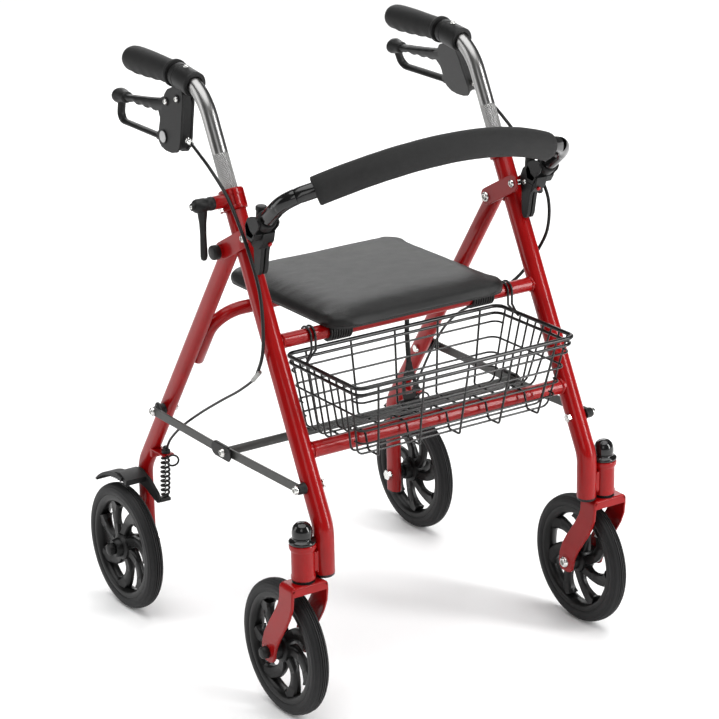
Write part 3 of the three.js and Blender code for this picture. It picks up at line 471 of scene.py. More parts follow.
def clamp_lever(side, s):
    at = CLAMP_AT
    start = LEG_X + 30.3
    body = f"clamp_lever_{side}_body"
    down = V(0, 0, -1) if s < 0 else -LEG_UP
    hub = Solid().disc([(0, 0), (8.4, 0), (9.4, 1.5), (9.4, 6), (8.8, 7.5), (8.8, 12), (9.6, 13.5),
                        (9.6, 25), (8.6, 28), (7.4, 29.5), (5.2, 30), (5.2, 33), (4.4, 34),
                        (0, 34)], s * start, at, s)
    root = V(s * (start + 17), *at)
    across = V(s, 0, 0)
    arm = []
    for t, w, d in ((0, 7.5, 7), (14, 6.6, 5.6), (24, 5.2, 4.4), (40, 4.6, 3.9), (60, 5.2, 3.6),
                    (70, 5.4, 3.4), (74, 4.6, 2.8), (76, 2.4, 1.6)):
        fore = down.cross(across)
        arm.append([root + down * t + (across * c * w + fore * v * d) for c, v in circle(24)])
    hub.shell(arm)
    piece(f"clamp_handle_{side}", hub, PLASTIC, body, [f"clamp_lever_{side}"], sharp=55)
    screw = Solid().bolt(s * (start + 33), at, s, 2.8, 2)
    screw.pin(s * (LEG_X + LEG_R + 3), s * (start + 1), at, 3)
    piece(f"clamp_screw_{side}", screw, ZINC, body)


def fold_bracket(side, s):
    inner, outer = LEG_X - LEG_R - 0.3, LEG_X + LEG_R + 0.3
    plates = Solid()
    for x0, x1 in ((inner - 2.5, inner), (outer, outer + 2.5)):
        plates.plate(link(FOLD, LUG, 12.5), s * x0, s * x1)
    piece(f"fold_plates_{side}", plates, RED, "front_frame", [f"fold_bracket_{side}"], bevel=0.9)
    bolts = Solid().bolt(s * (outer + 2.5), LUG, s, 5.6, 3.4).bolt(s * (inner - 2.5), LUG, -s, 5.6,
                                                                   3.4)
    bolts.pin(s * inner, s * outer, LUG, 3.4)
    piece(f"lug_bolt_{side}", bolts, ZINC, "front_frame")
    sleeve = Solid().pin(s * (LEG_X + OVAL[1] / 2 + 0.3), s * (outer - 0.1), FOLD, 9)
    sleeve.pin(s * (LEG_X - OVAL[1] / 2 - 0.3), s * (inner + 0.1), FOLD, 9)
    piece(f"fold_washers_{side}", sleeve, PLASTIC, "front_frame", [f"fold_bolt_{side}"], bevel=0.4)
    collar = Solid().lathe([(4, 0), (9, 0), (9, 3.4), (4, 3.4)], V(s * (outer + 2.5), *FOLD),
                           V(s, 0, 0), closed=True)
    piece(f"fold_collar_{side}", collar, RED, "front_frame", bevel=0.5)
    cap = Solid().disc([(0, 3.2), (9.6, 3.2), (10.2, 4.4), (10.2, 11), (9.4, 13), (7.4, 14),
                        (0, 14.2)], s * (outer + 2.5), FOLD, s)
    piece(f"fold_cap_{side}", cap, PLASTIC, "front_frame", sharp=50)
    head = Solid().bolt(s * (inner - 2.5), FOLD, -s, 7.2, 4.6)
    piece(f"fold_head_{side}", head, ZINC, "front_frame")


def caster_top(side, s):
    x, y = s * STEM[0], STEM[1]
    barrel = Solid().lathe([(8, 212.5), (15, 212.5), (16.4, 213.5), (16.4, 218), (15.6, 219.5),
                            (15.6, 252), (16.6, 254), (18.2, 257), (18.2, 262), (17.4, 263),
                            (8, 263)], V(x, y, 0), V(0, 0, 1), 56, closed=True)
    barrel.box(s * (LEG_X + LEG_R - 2.5), x - s * 13.5, y - 8, y + 6, 221, 249)
    piece(f"caster_barrel_{side}", barrel, RED, "front_frame", [f"caster_housing_{side}"],
          bevel=0.7)
    for name, z in (("top", 249), ("low", 221)):
        bead = [V(s * (LEG_X + LEG_R + out), y + ahead, z) for out, ahead in ((0.4, -9), (1, -1),
                                                                              (0.4, 7))]
        piece(f"caster_weld_{name}_{side}", Solid().tube(bead, [1.2, 2, 1.2], sides=12), RED,
              "front_frame")
    dome = [(0, 0), (17.6, 0), (18.4, 1), (18.4, 3.4), (17.2, 4.6), (13.6, 5.4), (12.6, 7),
            (13.4, 8.6), (14, 11), (14, 16), (13.2, 21), (11.2, 25), (7.8, 28), (4, 29.2),
            (0, 29.5)]
    cap = Solid().lathe(dome, V(x, y, 263.3), V(0, 0, 1))
    piece(f"caster_dome_{side}", cap, GLOSS, "front_frame", [f"caster_cap_{side}"], sharp=60)


def handle(side, s):
    x = s * LEG_X
    body = f"handle_{side}"
    line = route([leg_at(x, 500), leg_at(x, GRIP_Z), V(x, GRIP_TO - 7, GRIP_Z)], 82, 16)
    fine = []
    for a, b in zip(line, line[1:]):
        count = max(1, int((b - a).length / 12))
        fine += [a.lerp(b, k / count) for k in range(count)]
    fine.append(line[-1])
    piece(f"handle_bar_{side}", Solid().tube(fine, TUBE_R, sides=40), KNURL, body,
          [f"handle_tube_{side}"])
    profile = [(11.6, 128), (18.4, 128.3), (19.2, 129.4), (19.3, 132.4), (18.4, 134.2), (16.6, 136),
               (16.1, 139), (16.2, 146), (16.7, 162), (17.5, 180), (18.2, 198), (18.6, 214),
               (18.7, 228), (18.4, 240), (17.6, 247), (15.6, 252.6), (12.4, 256.4), (10, 257.6),
               (0, 258)]
    rows = []
    for (r0, h0), (r1, h1) in zip(profile, profile[1:]):
        count = max(1, int((h1 - h0) / 2.5))
        rows += [(r0 + (r1 - r0) * k / count, h0 + (h1 - h0) * k / count) for k in range(count)]
    rows.append(profile[-1])
    grip = Solid().lathe(rows, V(x, 0, GRIP_Z), V(0, 1, 0), 64)
    for i, v in enumerate(grip.verts):
        out = V(v.x - x, 0, v.z - GRIP_Z)
        below = max(0.0, (GRIP_Z - v.z) / max(out.length, 1))
        if 144 < v.y < 244 and out.length > 12:
            finger = 0.7 * below * math.sin((v.y - 144) / 25 * 2 * math.pi)
            grip.verts[i] = v + out.normalized() * finger
    piece(f"hand_grip_{side}", grip, GRIP, body, [f"grip_{side}"], sharp=50)


def lean(s):
    """Brake pieces are drawn upright below the grip, then leaned outwards about its axis."""
    return Matrix.Translation(V(s * LEG_X, 0, GRIP_Z)) @ Matrix.Rotation(-s * TILT[s], 4, "Y")


def under(points):
    return [(y, -depth) for y, depth in points]


def brake_housing(side, s):
    body = f"handle_{side}"
    shape = under([(100, 12), (97, 24), (98, 38), (102, 62), (105, 86), (109, 99), (117, 107),
                   (130, 110), (146, 110), (158, 107), (165, 100), (167, 92), (163, 78), (157, 58),
                   (151, 41), (146, 30), (138, 22), (127, 18), (118, 12)])
    shell = Solid()
    for x0, x1 in ((6.4, 10), (-10, -6.4)):
        shell.plate(shape, x0, x1)
    shell.plate(under([(102, 14), (99, 38), (103, 62), (106, 86), (111, 99), (117, 104),
                       (117, 20)]), -7, 7)
    for at in ((141, 40), (111, 31)):
        shell.lathe([(0, 9.5), (6, 9.5), (6.2, 11), (5, 11.8), (0, 11.8)], V(0, at[0], -at[1]),
                    V(s, 0, 0), 32)
    shell.move(lean(s))
    shell.lathe([(11.5, 0), (15.6, 0), (16.8, 1.2), (17.2, 6), (17.2, 10), (16.2, 11), (17, 12.5),
                 (17.4, 36), (17.6, 44), (16.6, 46), (11.5, 46)], V(s * LEG_X, 124.6, GRIP_Z),
                V(0, -0.988, -0.155), 48, closed=True)
    piece(f"brake_body_{side}", shell, PLASTIC, body, [f"brake_housing_{side}"], bevel=1.6)
    metal = Solid()
    for at in ((141, 40), (111, 31)):
        metal.bolt(s * 11.6, (at[0], -at[1]), s, 4, 2.2)
    metal.lathe([(0, 0), (4.4, 0), (4.4, 5), (3.4, 6), (4.2, 7), (4.2, 10), (3, 12), (3, 16),
                 (0, 16)], V(0, 106, -86.5), V(0, -0.965, -0.26), 8)
    metal.move(lean(s))
    piece(f"brake_metal_{side}", metal, ZINC, body)
    top_screw = Solid().bolt(s * 14.6, (0, 0), s, 3.4, 2)
    upwards = Matrix.Rotation(-s * math.pi / 2, 4, "Y")
    top_screw.move(Matrix.Translation(V(s * LEG_X, 102, GRIP_Z)) @ upwards)
    piece(f"collar_screw_{side}", top_screw, ZINC, body)


def brake_lever(side, s):
    body = f"brake_lever_{side}_body"
    lever = Solid()
    lever.plate(under([(130, 34), (147, 33), (162, 38), (172, 44), (176, 51), (173, 59), (169, 68),
                       (169.5, 78), (173, 87), (180, 92), (180, 101), (150, 101), (134, 99),
                       (126, 90), (128, 60)]), -5.4, 5.4)
    # The finger bar tapers towards the knob and has shallow waves underneath.
    rings = []
    for k in range(61):
        t = k / 60
        y, top = 156 + 122 * t, 37.5 + 18.5 * t ** 0.75
        deep = 21 - 11.5 * min(1.0, t * 1.25)
        if 0.2 < t < 0.97:
            deep += 1.5 * math.sin((t - 0.2) / 0.77 * 8 * math.pi)
        w = 7.2 - 0.8 * t
        rings.append([V(w * c * (1.12 if abs(c) < 0.75 else 1), y, -(top + deep / 2) + deep / 2 * v)
                      for c, v in circle(24)])
    lever.shell(rings)
    knob = [(0, 0), (7, 0.6), (9.4, 3), (10, 8), (10.4, 13), (12.2, 18), (13, 23), (12, 27.5),
            (8.4, 30.5), (0, 31.5)]
    start = len(lever.verts)
    lever.lathe(knob, V(0, 266, -60), V(0, 1, -0.04), 32)
    lever.verts[start:] = [V(v.x, v.y, -60 + (v.z + 60) * 0.85) for v in lever.verts[start:]]
    loop = route([V(0, 284, -62), V(0, 290, -96), V(0, 170, -97)], 12, 8)
    lever.tube(loop, 1, section=[(c * 6.2, v * 3.8) for c, v in circle(24)], side=V(1, 0, 0))
    lever.move(lean(s))
    piece(f"brake_handle_{side}", lever, PLASTIC, body, [f"brake_lever_{side}"], bevel=1.2)
    boss = [(0, 9.4), (9.6, 9.4), (9.8, 11.2), (9, 12), (8.4, 11.6), (0, 11.6)]
    face = [(0, 5.5), (8.2, 5.5), (8.6, 6.4), (7.8, 7.2), (0, 7.4)]
    for name, out, mat, profile in (("badge_boss", 0, PLASTIC, boss),
                                    ("blank_badge", 4.9, BADGE, face)):
        disc = Solid().disc(profile, s * out, (151, -91), s, 40).move(lean(s))
        piece(f"{name}_{side}", disc, mat, f"handle_{side}")


def brake_cable(side, s):
    # The right cable stays outside the frame. The left one crosses behind the front leg.
    outside = [(243, -108, 580), (242, -112, 530), (240, -104, 490), (238, -84, 456),
               (237, -40, 424), (236, 15, 392), (235, 75, 356), (233, 130, 320), (229, 172, 288),
               (222, 199, 264)]
    inside = [(243, -92, 580), (240, -76, 545), (232, -44, 500), (224, 1, 460), (221, 46, 434),
              (220, 92, 408), (220, 133, 372), (220, 166, 328), (220, 190, 290), (220, 203, 270)]
    way = [(231 if s < 0 else 251, 58, 731), (240, 13, 720), (241, -30, 692), (243, -62, 660),
           (244, -90, 622)] + (outside if s < 0 else inside)
    pts = [lean(s) @ V(0, 93, -90.5)] + [V(s * x, y, z) for x, y, z in way]
    pts.append(V(s * LEG_X, STOP[0] - 0.5, STOP[1] + 5.5))
    # The cable is parted at a ferrule into an upper and a lower part.
    split, end = 9, 14
    upper = piece(f"cable_upper_{side}", Solid().tube(curve(pts[:split + 1], 10), 2.4, sides=16),
                  CABLE, None, [f"brake_cable_{side}"])
    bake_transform(upper)
    line = curve(pts, 10)[split * 10:]
    lower = piece(f"cable_lower_{side}", Solid().tube(line, 1.9, sides=16), CABLE, None)
    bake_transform(lower)
    here, ahead = pts[split], (line[3] - line[0]).normalized()
    ferrule = Solid().tube([here - ahead * 13, here + ahead * 13], 3.1, sides=16, chamfer=0.8)
    piece(f"cable_ferrule_{side}", ferrule, FERRULE, "front_frame")


# ------------------------------------------------------------------ casters and wheels
def fork(side, s):
    x, y = s * STEM[0], STEM[1]
    body = f"caster_{side}"
    # A sheet-metal strap: down one side of the wheel, over it and down the other.
    arm = [(-160, 81, 7), (-160, 82.5, 11), (-160, 86, 14.4), (-160.3, 92, 16), (-161.5, 102, 16.8),
           (-166.5, 115, 16.8), (-175, 129, 16.4), (-185, 143, 16.2), (-195, 157, 16.2),
           (-203, 170, 16.2), (-208.5, 183, 16.3), (-210, 196, 16.4)]
    flat = Solid()
    half, e, bend, soft = 27, 2.1, 6, 1.6   # half width, half thickness, bend, edge radius
    stations = [(V(half, ay, az), w) for ay, az, w in arm]
    for k in range(1, 8):
        a = math.pi / 2 * k / 8
        stations.append((V(half - bend + bend * math.cos(a), y, 207 - bend + bend * math.sin(a)),
                         16.4))
    line = stations + [(V(-p.x, p.y, p.z), w) for p, w in reversed(stations)]
    rings = []
    for i, (p, w) in enumerate(line):
        before, after = line[max(i - 1, 0)][0], line[min(i + 1, len(line) - 1)][0]
        t = (after - before).normalized()
        wide = (V(0, 1, 0) - t * t.y).normalized()
        if abs(t.y) > 0.02:
            wide = V(0, abs(t.z), -t.y * (1 if t.z > 0 else -1)).normalized()
        n = t.cross(wide).normalized()
        rings.append([V(x, 0, 0) + p + wide * a + n * b for a, b in ((-w + soft, -e),
                                                                     (w - soft, -e), (w, -e + soft),
                                                                     (w, e - 0.4), (w - soft, e),
                                                                     (-w + soft, e), (-w, e - 0.4),
                                                                     (-w, -e + soft))])
    flat.shell(rings)
    for edge in (-16.4, 13.2):
        flat.box(x - half, x + half, y + edge, y + edge + 3.2, 196, 206)
    for k in (-1, 1):
        flat.disc([(0, 25), (11.4, 25), (12, 25.8), (12, 28.6), (11.2, 29.4), (0, 29.4)], x,
                  FRONT_AXLE, k, 40)
    piece(f"fork_strap_{side}", flat, RED, body, [f"fork_{side}"], bevel=0.8, segments=2)
    race = Solid().lathe([(0, 206), (14.5, 206), (15.5, 207), (15.5, 209), (13, 210.2), (13, 212),
                          (0, 212)], V(x, y, 0), V(0, 0, 1))
    piece(f"caster_race_{side}", race, PLASTIC, body)
    caps = Solid().disc([(0, 0), (8, 0), (8.6, 1), (8.6, 7), (7.6, 9), (5.6, 10), (0, 10.2)],
                        x + s * 29.3, FRONT_AXLE, s)
    piece(f"axle_cap_{side}", caps, PLASTIC, body, [f"front_axle_{side}"])
    bolt = Solid().bolt(x - s * 29.3, FRONT_AXLE, -s, 8, 5)
    bolt.pin(x - 28, x + 28, FRONT_AXLE, 4)
    piece(f"axle_bolt_{side}", bolt, ZINC, body)


def wheel(end, side, x, axle, hub_half, spin):
    name, body = f"{end}_wheel_{side}_part", f"{end}_wheel_{side}_body"
    hub = Solid()
    c = V(x, *axle)
    hub.disc(mirrored([(66.5, -2.5), (69, -9), (72.5, -11.2), (78.2, -10.4)]), x, axle, 1, 96,
             closed=True)
    hub.disc(mirrored([(4.6, -hub_half), (11.5, -hub_half), (13, -hub_half + 1.5),
                       (14.5, -hub_half * 0.55), (19, -hub_half * 0.45), (20.5, -6)]), x, axle, 1,
             closed=True)
    for i in range(SPOKES):
        rings = []
        for k in range(15):
            t = k / 14
            r = 16 + 53.5 * t
            a = spin + 2 * math.pi * i / SPOKES + 0.62 * t ** 1.2 * (1 if x < 0 else -1)
            slope = 0.74 * t ** 0.2 * r / 53.5 * (1 if x < 0 else -1)
            out = V(0, math.cos(a), math.sin(a))
            turn = V(0, -math.sin(a), math.cos(a))
            across = (turn - out * slope).normalized()
            w = 7.2 + 3.6 * t * t + (2 if t > 0.93 else 0)
            d = 8.5 - 4.2 * math.sin(math.pi * t) ** 0.8
            rings.append([c + out * r + across * w * u + V(1, 0, 0) * d * v for u, v in
                          ((-1, -0.55), (-0.72, -1), (0.72, -1), (1, -0.55), (1, 0.55), (0.72, 1),
                           (-0.72, 1), (-1, 0.55))])
        hub.shell(rings)
    piece(f"{name}_centre", hub, HUB, body, [f"{end}_wheel_{side}"], sharp=42)
    half = [(77.4, -9.5), (79.5, -11.4), (83, -12), (86.6, -12), (87.2, -11.4), (88, -11.5),
            (90.6, -10.6), (91, -9.6), (92, -9.5), (93.5, -7.6), (94.2, -5.9), (92.8, -5.4),
            (92.9, -4.8), (94.4, -4.2), (94.9, -2.3), (93.4, -1.9), (93.4, -1.3), (95, -0.8)]
    tread = Solid().disc(mirrored(half), x, axle, 1, 120, closed=True)
    piece(f"{name}_tread", tread, TYRE, body, [f"{end}_tyre_{side}"], sharp=60)


# ------------------------------------------------------------------ rear frame
def rear_leg(side, s):
    x = s * LEG_X
    top = V(x, *FOLD) + REAR_UP * 9
    oval = [(v, u) for u, v in stadium(*OVAL)]
    line = route([top, V(x, *REAR_KNEE), V(x, REAR_KNEE[0], REAR_FOOT_Z)], 50, 12)
    leg = Solid().tube(line, 1, section=oval, side=V(1, 0, 0),
                       chamfer=0.06)
    piece(f"rear_leg_tube_{side}", leg, RED, "rear_frame", [f"rear_leg_{side}"], sharp=50)
    plug = Solid().tube([V(x, REAR_KNEE[0], REAR_FOOT_Z + 1), V(x, REAR_KNEE[0], REAR_FOOT_Z - 3)],
                        0.93, section=oval, side=V(1, 0, 0))
    piece(f"rear_plug_{side}", plug, PLASTIC, "rear_frame", bevel=0.6)
    # Strut bolt with its moulded spacer, which wraps the front of the leg.
    spacer = Solid().disc([(4, 0), (8.5, 0), (8.5, 2), (7.4, 4), (7.4, 11), (6.6, 14), (4, 14)],
                          s * (LEG_X + OVAL[1] / 2 - 0.4), STRUT_REAR, s, closed=True)
    spacer.tube(curve([V(s * (LEG_X + 9), STRUT_REAR[0] + 14, 316), V(s * (LEG_X + 13),
                                                                      STRUT_REAR[0] + 12, 326),
                       V(s * (LEG_X + 17), STRUT_REAR[0] + 2, 334), V(s * (LEG_X + 20),
                                                                      STRUT_REAR[0] - 10, 333),
                       V(s * (LEG_X + 21), STRUT_REAR[0] - 18, 328)], 6), 3.4, sides=16)
    piece(f"strut_rear_spacer_{side}", spacer, PLASTIC, "rear_frame")
    bolts = Solid().bolt(s * (STRUT_IN + STRUT_T * 2 + 1.2), STRUT_REAR, s, 6, 4.5)
    bolts.pin(s * (LEG_X - 12), s * (STRUT_IN + 8), STRUT_REAR, 3.4)
    bolts.nut(s * (LEG_X - OVAL[1] / 2), STRUT_REAR, -s, 6, 4)
    bolts.bolt(s * (LEG_X + 16), BRAKE_PIN, s, 6.2, 4.6)
    bolts.pin(s * LEG_X, s * (LEG_X + 17), BRAKE_PIN, 4)
    piece(f"rear_bolts_{side}", bolts, ZINC, "rear_frame", bevel=0.3)
    # Cable stop: a pressed tab on the front of the leg.
    tab = Solid().box(x - 9, x + 9, STOP[0] - 8, rear_y(STOP[1]) - 6, STOP[1] - 5, STOP[1] - 2)
    tab.box(x - 9, x + 9, rear_y(STOP[1]) - 12, rear_y(STOP[1]) - 5, STOP[1] - 16, STOP[1] - 3)
    piece(f"cable_tab_{side}", tab, RED, "rear_frame", bevel=1)
    stopper = Solid().lathe([(0, -7), (5, -7), (5, -2), (6.4, -1.5), (6.4, 2.5), (4.4, 4), (4.4, 7),
                             (3, 8.5), (0, 8.5)], V(x, *STOP), V(0, 0, 1), 24)
    piece(f"cable_stop_{side}", stopper, PLASTIC, "rear_frame")
    eye = [V(x, STOP[0] - 3, 250)]
    for k in range(13):
        a = math.radians(150 - 27.5 * k)
        eye.append(V(x + 8 * math.cos(a), STOP[0] - 19 - 3 * math.cos(a), 246 + 8 * math.sin(a)))
    ring = curve(eye, 4)
    piece(f"wire_loop_{side}", Solid().tube(ring, 1.5, sides=12), WIRE, "rear_frame")
    axle = Solid()
    axle.pin(s * (LEG_X - 11), s * (REAR_WHEEL_X + 24), REAR_AXLE, 5)
    axle.nut(s * (LEG_X - OVAL[1] / 2 - 0.3), REAR_AXLE, -s, 8.4, 6)
    piece(f"rear_axle_bolt_{side}", axle, ZINC, "rear_frame", [f"rear_axle_{side}"], bevel=0.4)
    collar = Solid().pin(s * (LEG_X + OVAL[1] / 2), s * (REAR_WHEEL_X - 22.5), REAR_AXLE, 9, 0.8)
    collar.disc([(0, 0), (8.2, 0), (9, 1), (9, 5), (8, 8), (5.6, 9.4), (0, 9.6)],
                s * (REAR_WHEEL_X + 22.4), REAR_AXLE, s)
    piece(f"rear_axle_cap_{side}", collar, PLASTIC, "rear_frame")


def rear_arch():
    x = LEG_X - OVAL[1] / 2 - 9.8
    low, high = 412, 494
    corners = [V(-x, rear_y(low), low), V(-x, rear_y(high), high), V(x, rear_y(high), high),
               V(x, rear_y(low), low)]
    arch = Solid().tube(route(corners, 42, 12), 9.5, chamfer=1.5, sides=36)
    piece("arch_tube", arch, RED, "rear_frame", ["rear_arch"])
    welds = Solid()
    for s in (-1, 1):
        for z in (430, 447):
            welds.tube([V(s * (x + 8), rear_y(z - 7), z - 7), V(s * (x + 9.4), rear_y(z), z),
                        V(s * (x + 8), rear_y(z + 7), z + 7)], [1, 2.6, 1], sides=12)
    piece("arch_welds", welds, RED, "rear_frame")


def brake_arm(side, s):
    body = f"brake_arm_{side}_body"
    clear, teeth = WHEEL_R + 11, 13
    start, end = math.pi * 0.54, math.pi * 0.29

    def at(r, a):
        return (REAR_AXLE[0] + r * math.cos(a), REAR_AXLE[1] + r * math.sin(a))
    outer, inner = [], []
    for i in range(teeth * 2 + 1):
        t = i / (teeth * 2)
        a = start + (end - start) * t
        outer.append(at(clear + 8.5 - 4 * t ** 2, a))
        inner.append(at(clear + (3.4 if i % 2 == 0 else 0.1), a))
    in_x = LEG_X + OVAL[1] / 2 + 0.4
    shoe = Solid().plate(outer + inner[::-1], s * (REAR_WHEEL_X - 11), s * (REAR_WHEEL_X + 11))
    lever = [(284, 207), (273, 212), (262, 212), (236, 203), (215, 189), (210, 181), (214, 174),
             (224, 176), (248, 186), (266, 189), (281, 191)]
    shoe.plate(lever, s * in_x, s * (in_x + 4.6))
    shoe.plate([(246, 206), (266, 213), (282, 209.5), (282, 205), (264, 204), (248, 197)],
               s * (in_x + 1), s * (REAR_WHEEL_X + 8))
    shoe.box(s * (LEG_X - 6), s * (in_x + 2), 209, 221, 176, 181)
    piece(f"brake_shoe_{side}", shoe, PLASTIC, body, [f"brake_arm_{side}"], bevel=0.7, segments=2)
    x = s * LEG_X
    a, b = V(x, STOP[0] + 2, STOP[1] - 7), V(x, 214.5, 182)
    d = b - a
    u = V(1, 0, 0)
    w = d.normalized().cross(u)
    turns, steps = 9, 16
    coil = []
    for k in range(turns * steps + 1):
        t = k / (turns * steps)
        g = 2 * math.pi * turns * t
        r = 6 - 1.2 * abs(2 * t - 1) ** 3
        coil.append(a + d * t + (u * math.cos(g) + w * math.sin(g)) * r)
    spring = piece(f"coil_spring_{side}", Solid().tube(coil, 1.7, sides=10), CABLE, "rear_frame",
                   [f"brake_spring_{side}"])
    core = piece(f"inner_wire_{side}", Solid().rod(a, b, 1.2, sides=12), ZINC, "rear_frame")
    for o in (spring, core):
        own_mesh(o)


# ------------------------------------------------------------------ struts
def struts(side, s):
    x0, x1 = STRUT_IN, STRUT_IN + STRUT_T
    front = Solid().plate(link(STRUT_FRONT, STRUT_MID, STRUT_H / 2), s * x0, s * x1)
    piece(f"strut_front_bar_{side}", front, STEEL, "front_struts", [f"front_strut_{side}"],
          bevel=0.6)
    y, z = STRUT_MID
    rear = Solid().plate(link(STRUT_REAR, STRUT_MID, STRUT_H / 2), s * (x1 + 0.3), s * (x1 + 3.3))
    piece(f"strut_rear_bar_{side}", rear, STEEL, "rear_struts", [f"rear_strut_{side}"], bevel=0.6)
    cover = Solid().plate(link((y - 10, z), (y + 22, z + 0.1), 9.6), s * (x1 + 3.4), s * (x1 + 5.6))
    for k in (-1, 1):
        cover.box(s * (x1 + 1), s * (x1 + 5), y - 12, y + 24, z + k * 9.6 - 1, z + k * 9.6 + 1)
    piece(f"strut_channel_{side}", cover, PLASTIC, "rear_struts", bevel=0.6)
    bolt = Solid().bolt(s * (x1 + 5.6), STRUT_MID, s, 6.2, 4.4)
    piece(f"strut_mid_bolt_{side}", bolt, ZINC, "rear_struts")


def crossbar_and_strap():
    y, z = STRUT_MID
    half = STRUT_IN - 0.3
    bar = Solid().rod(V(-half, y, z), V(half, y, z), 6.2, 0.6)
    piece("strut_cross_rod", bar, STEEL, "front_struts", ["strut_crossbar"])
    x = 62
    ring = Solid().lathe(mirrored([(6.5, -15), (9.4, -15), (10, -14)]),
                         V(x, y, z), V(1, 0, 0), closed=True)
    # The blade round its finger hole is made of a left, a right, a top and a bottom part.
    parts = [
        [(-4.2, 66), (-5, 60), (-9, 48), (-11.6, 38), (11.6, 38), (9, 48), (5, 60), (4.2, 66)],
        [(-11.6, 38), (-12, 26), (-11.4, 18), (-6, 18), (-7, 24), (-7, 31), (-6, 38)],
        [(11.6, 38), (12, 26), (11.4, 18), (6, 18), (7, 24), (7, 31), (6, 38)],
        [(-11.4, 18), (-11, 14), (-7, 7), (0, 5), (7, 7), (11, 14), (11.4, 18)]]
    for part in parts:
        ring.shell([[V(x + a, y - 1.5, z + b) for a, b in part], [V(x + a, y + 1.5, z + b) for a,
                                                                  b in part]])
    strap = piece("strap_handle", ring, PLASTIC, "front_struts", ["pull_strap"], bevel=0.5,
                  segments=2)
    tail = Solid().tube([V(x, y, z + 62), V(x, y + 4, z + 110), V(x, y + 2, z + 150), V(x, y, 511)],
                        1, section=[(a * 4.2, b * 1.2) for a, b in circle(16)], side=V(1, 0, 0))
    tail = piece("strap_tail", tail, PLASTIC, "front_struts")
    for o, keep in ((strap, 0.3), (tail, 0.12)):
        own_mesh(o)


def cross_tubes():
    for name, at, r, cad in (("seat_rail", SEAT_TUBE, 10, "seat_tube"),
                             ("lower_rail", CROSS_TUBE, 11, "cross_tube")):
        tube = Solid().rod(V(-LEG_X + 6, *at), V(LEG_X - 6, *at), r, sides=40)
        for s in (-1, 1):
            tube.disc([(r - 1, 0), (r + 1.4, 0.4), (r + 1.2, 2), (r, 3.4), (r - 1, 3.4)],
                      s * (LEG_X - LEG_R + 1.6), at, -s, 40, closed=True)
        piece(name, tube, RED, "front_frame", [cad], sharp=60)


# ------------------------------------------------------------------ seat
def slab(levels):
    """Stacks rounded squares: (inset, radius, z)."""
    return Solid().shell([[V(x, y, z) for x, y in rounded_rectangle(
        SEAT_HALF - inset, SEAT_FRONT + inset, SEAT_BACK - inset, radius)]
        for inset, radius, z in levels])


def seat():
    low = BOARD_Z - 1.7
    board = slab([(6, 27, low), (4, 29, low + 0.5), (3.4, 30, low + 1.4), (3.4, 30, BOARD_Z + 1),
                  (4, 29, BOARD_Z + BOARD_T)])
    piece("seat_base", board, BOARD, "seat", ["seat_board"], sharp=40)
    clips = Solid()
    y, z = SEAT_TUBE
    for x in (-118, 118):
        for k in range(9):
            a = x - 16 + k * 4
            clips.lathe([(10.4, 0), (14.6, 0.2), (14.6, 2.8), (10.4, 3)], V(a - 1.5, y, z),
                        V(1, 0, 0), 40, closed=True)
        clips.lathe([(10.4, -15), (13.2, -15), (13.2, 15), (10.4, 15)], V(x, y, z), V(1, 0, 0), 40,
                    closed=True)
        clips.box(x - 16, x + 16, y - 12, y + 12, z + 10.4, BOARD_Z + 0.5)
    piece("seat_clips", clips, PLASTIC, "seat", bevel=0.3, segments=1)
    # The pad: a sewn vinyl cover swollen by its foam.
    bottom, top = BOARD_Z - 0.6, BOARD_Z + BOARD_T + 14
    pad = slab([(3.6, 30, bottom), (1, 32, bottom + 1.4), (0, 33, bottom + 4), (0, 33, bottom + 9),
                (2, 32, top - 5.5), (6, 30, top - 2.4), (12, 27, top - 0.7), (20, 22, top)])
    obj = piece("seat_cushion", pad, VINYL, None)
    swell(obj, 0.005, 2.4, lambda p: p.z * 1000 < bottom + 1.0, 0.0042)
    creases(obj, top)
    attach(obj, "seat")
    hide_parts("seat_pad")


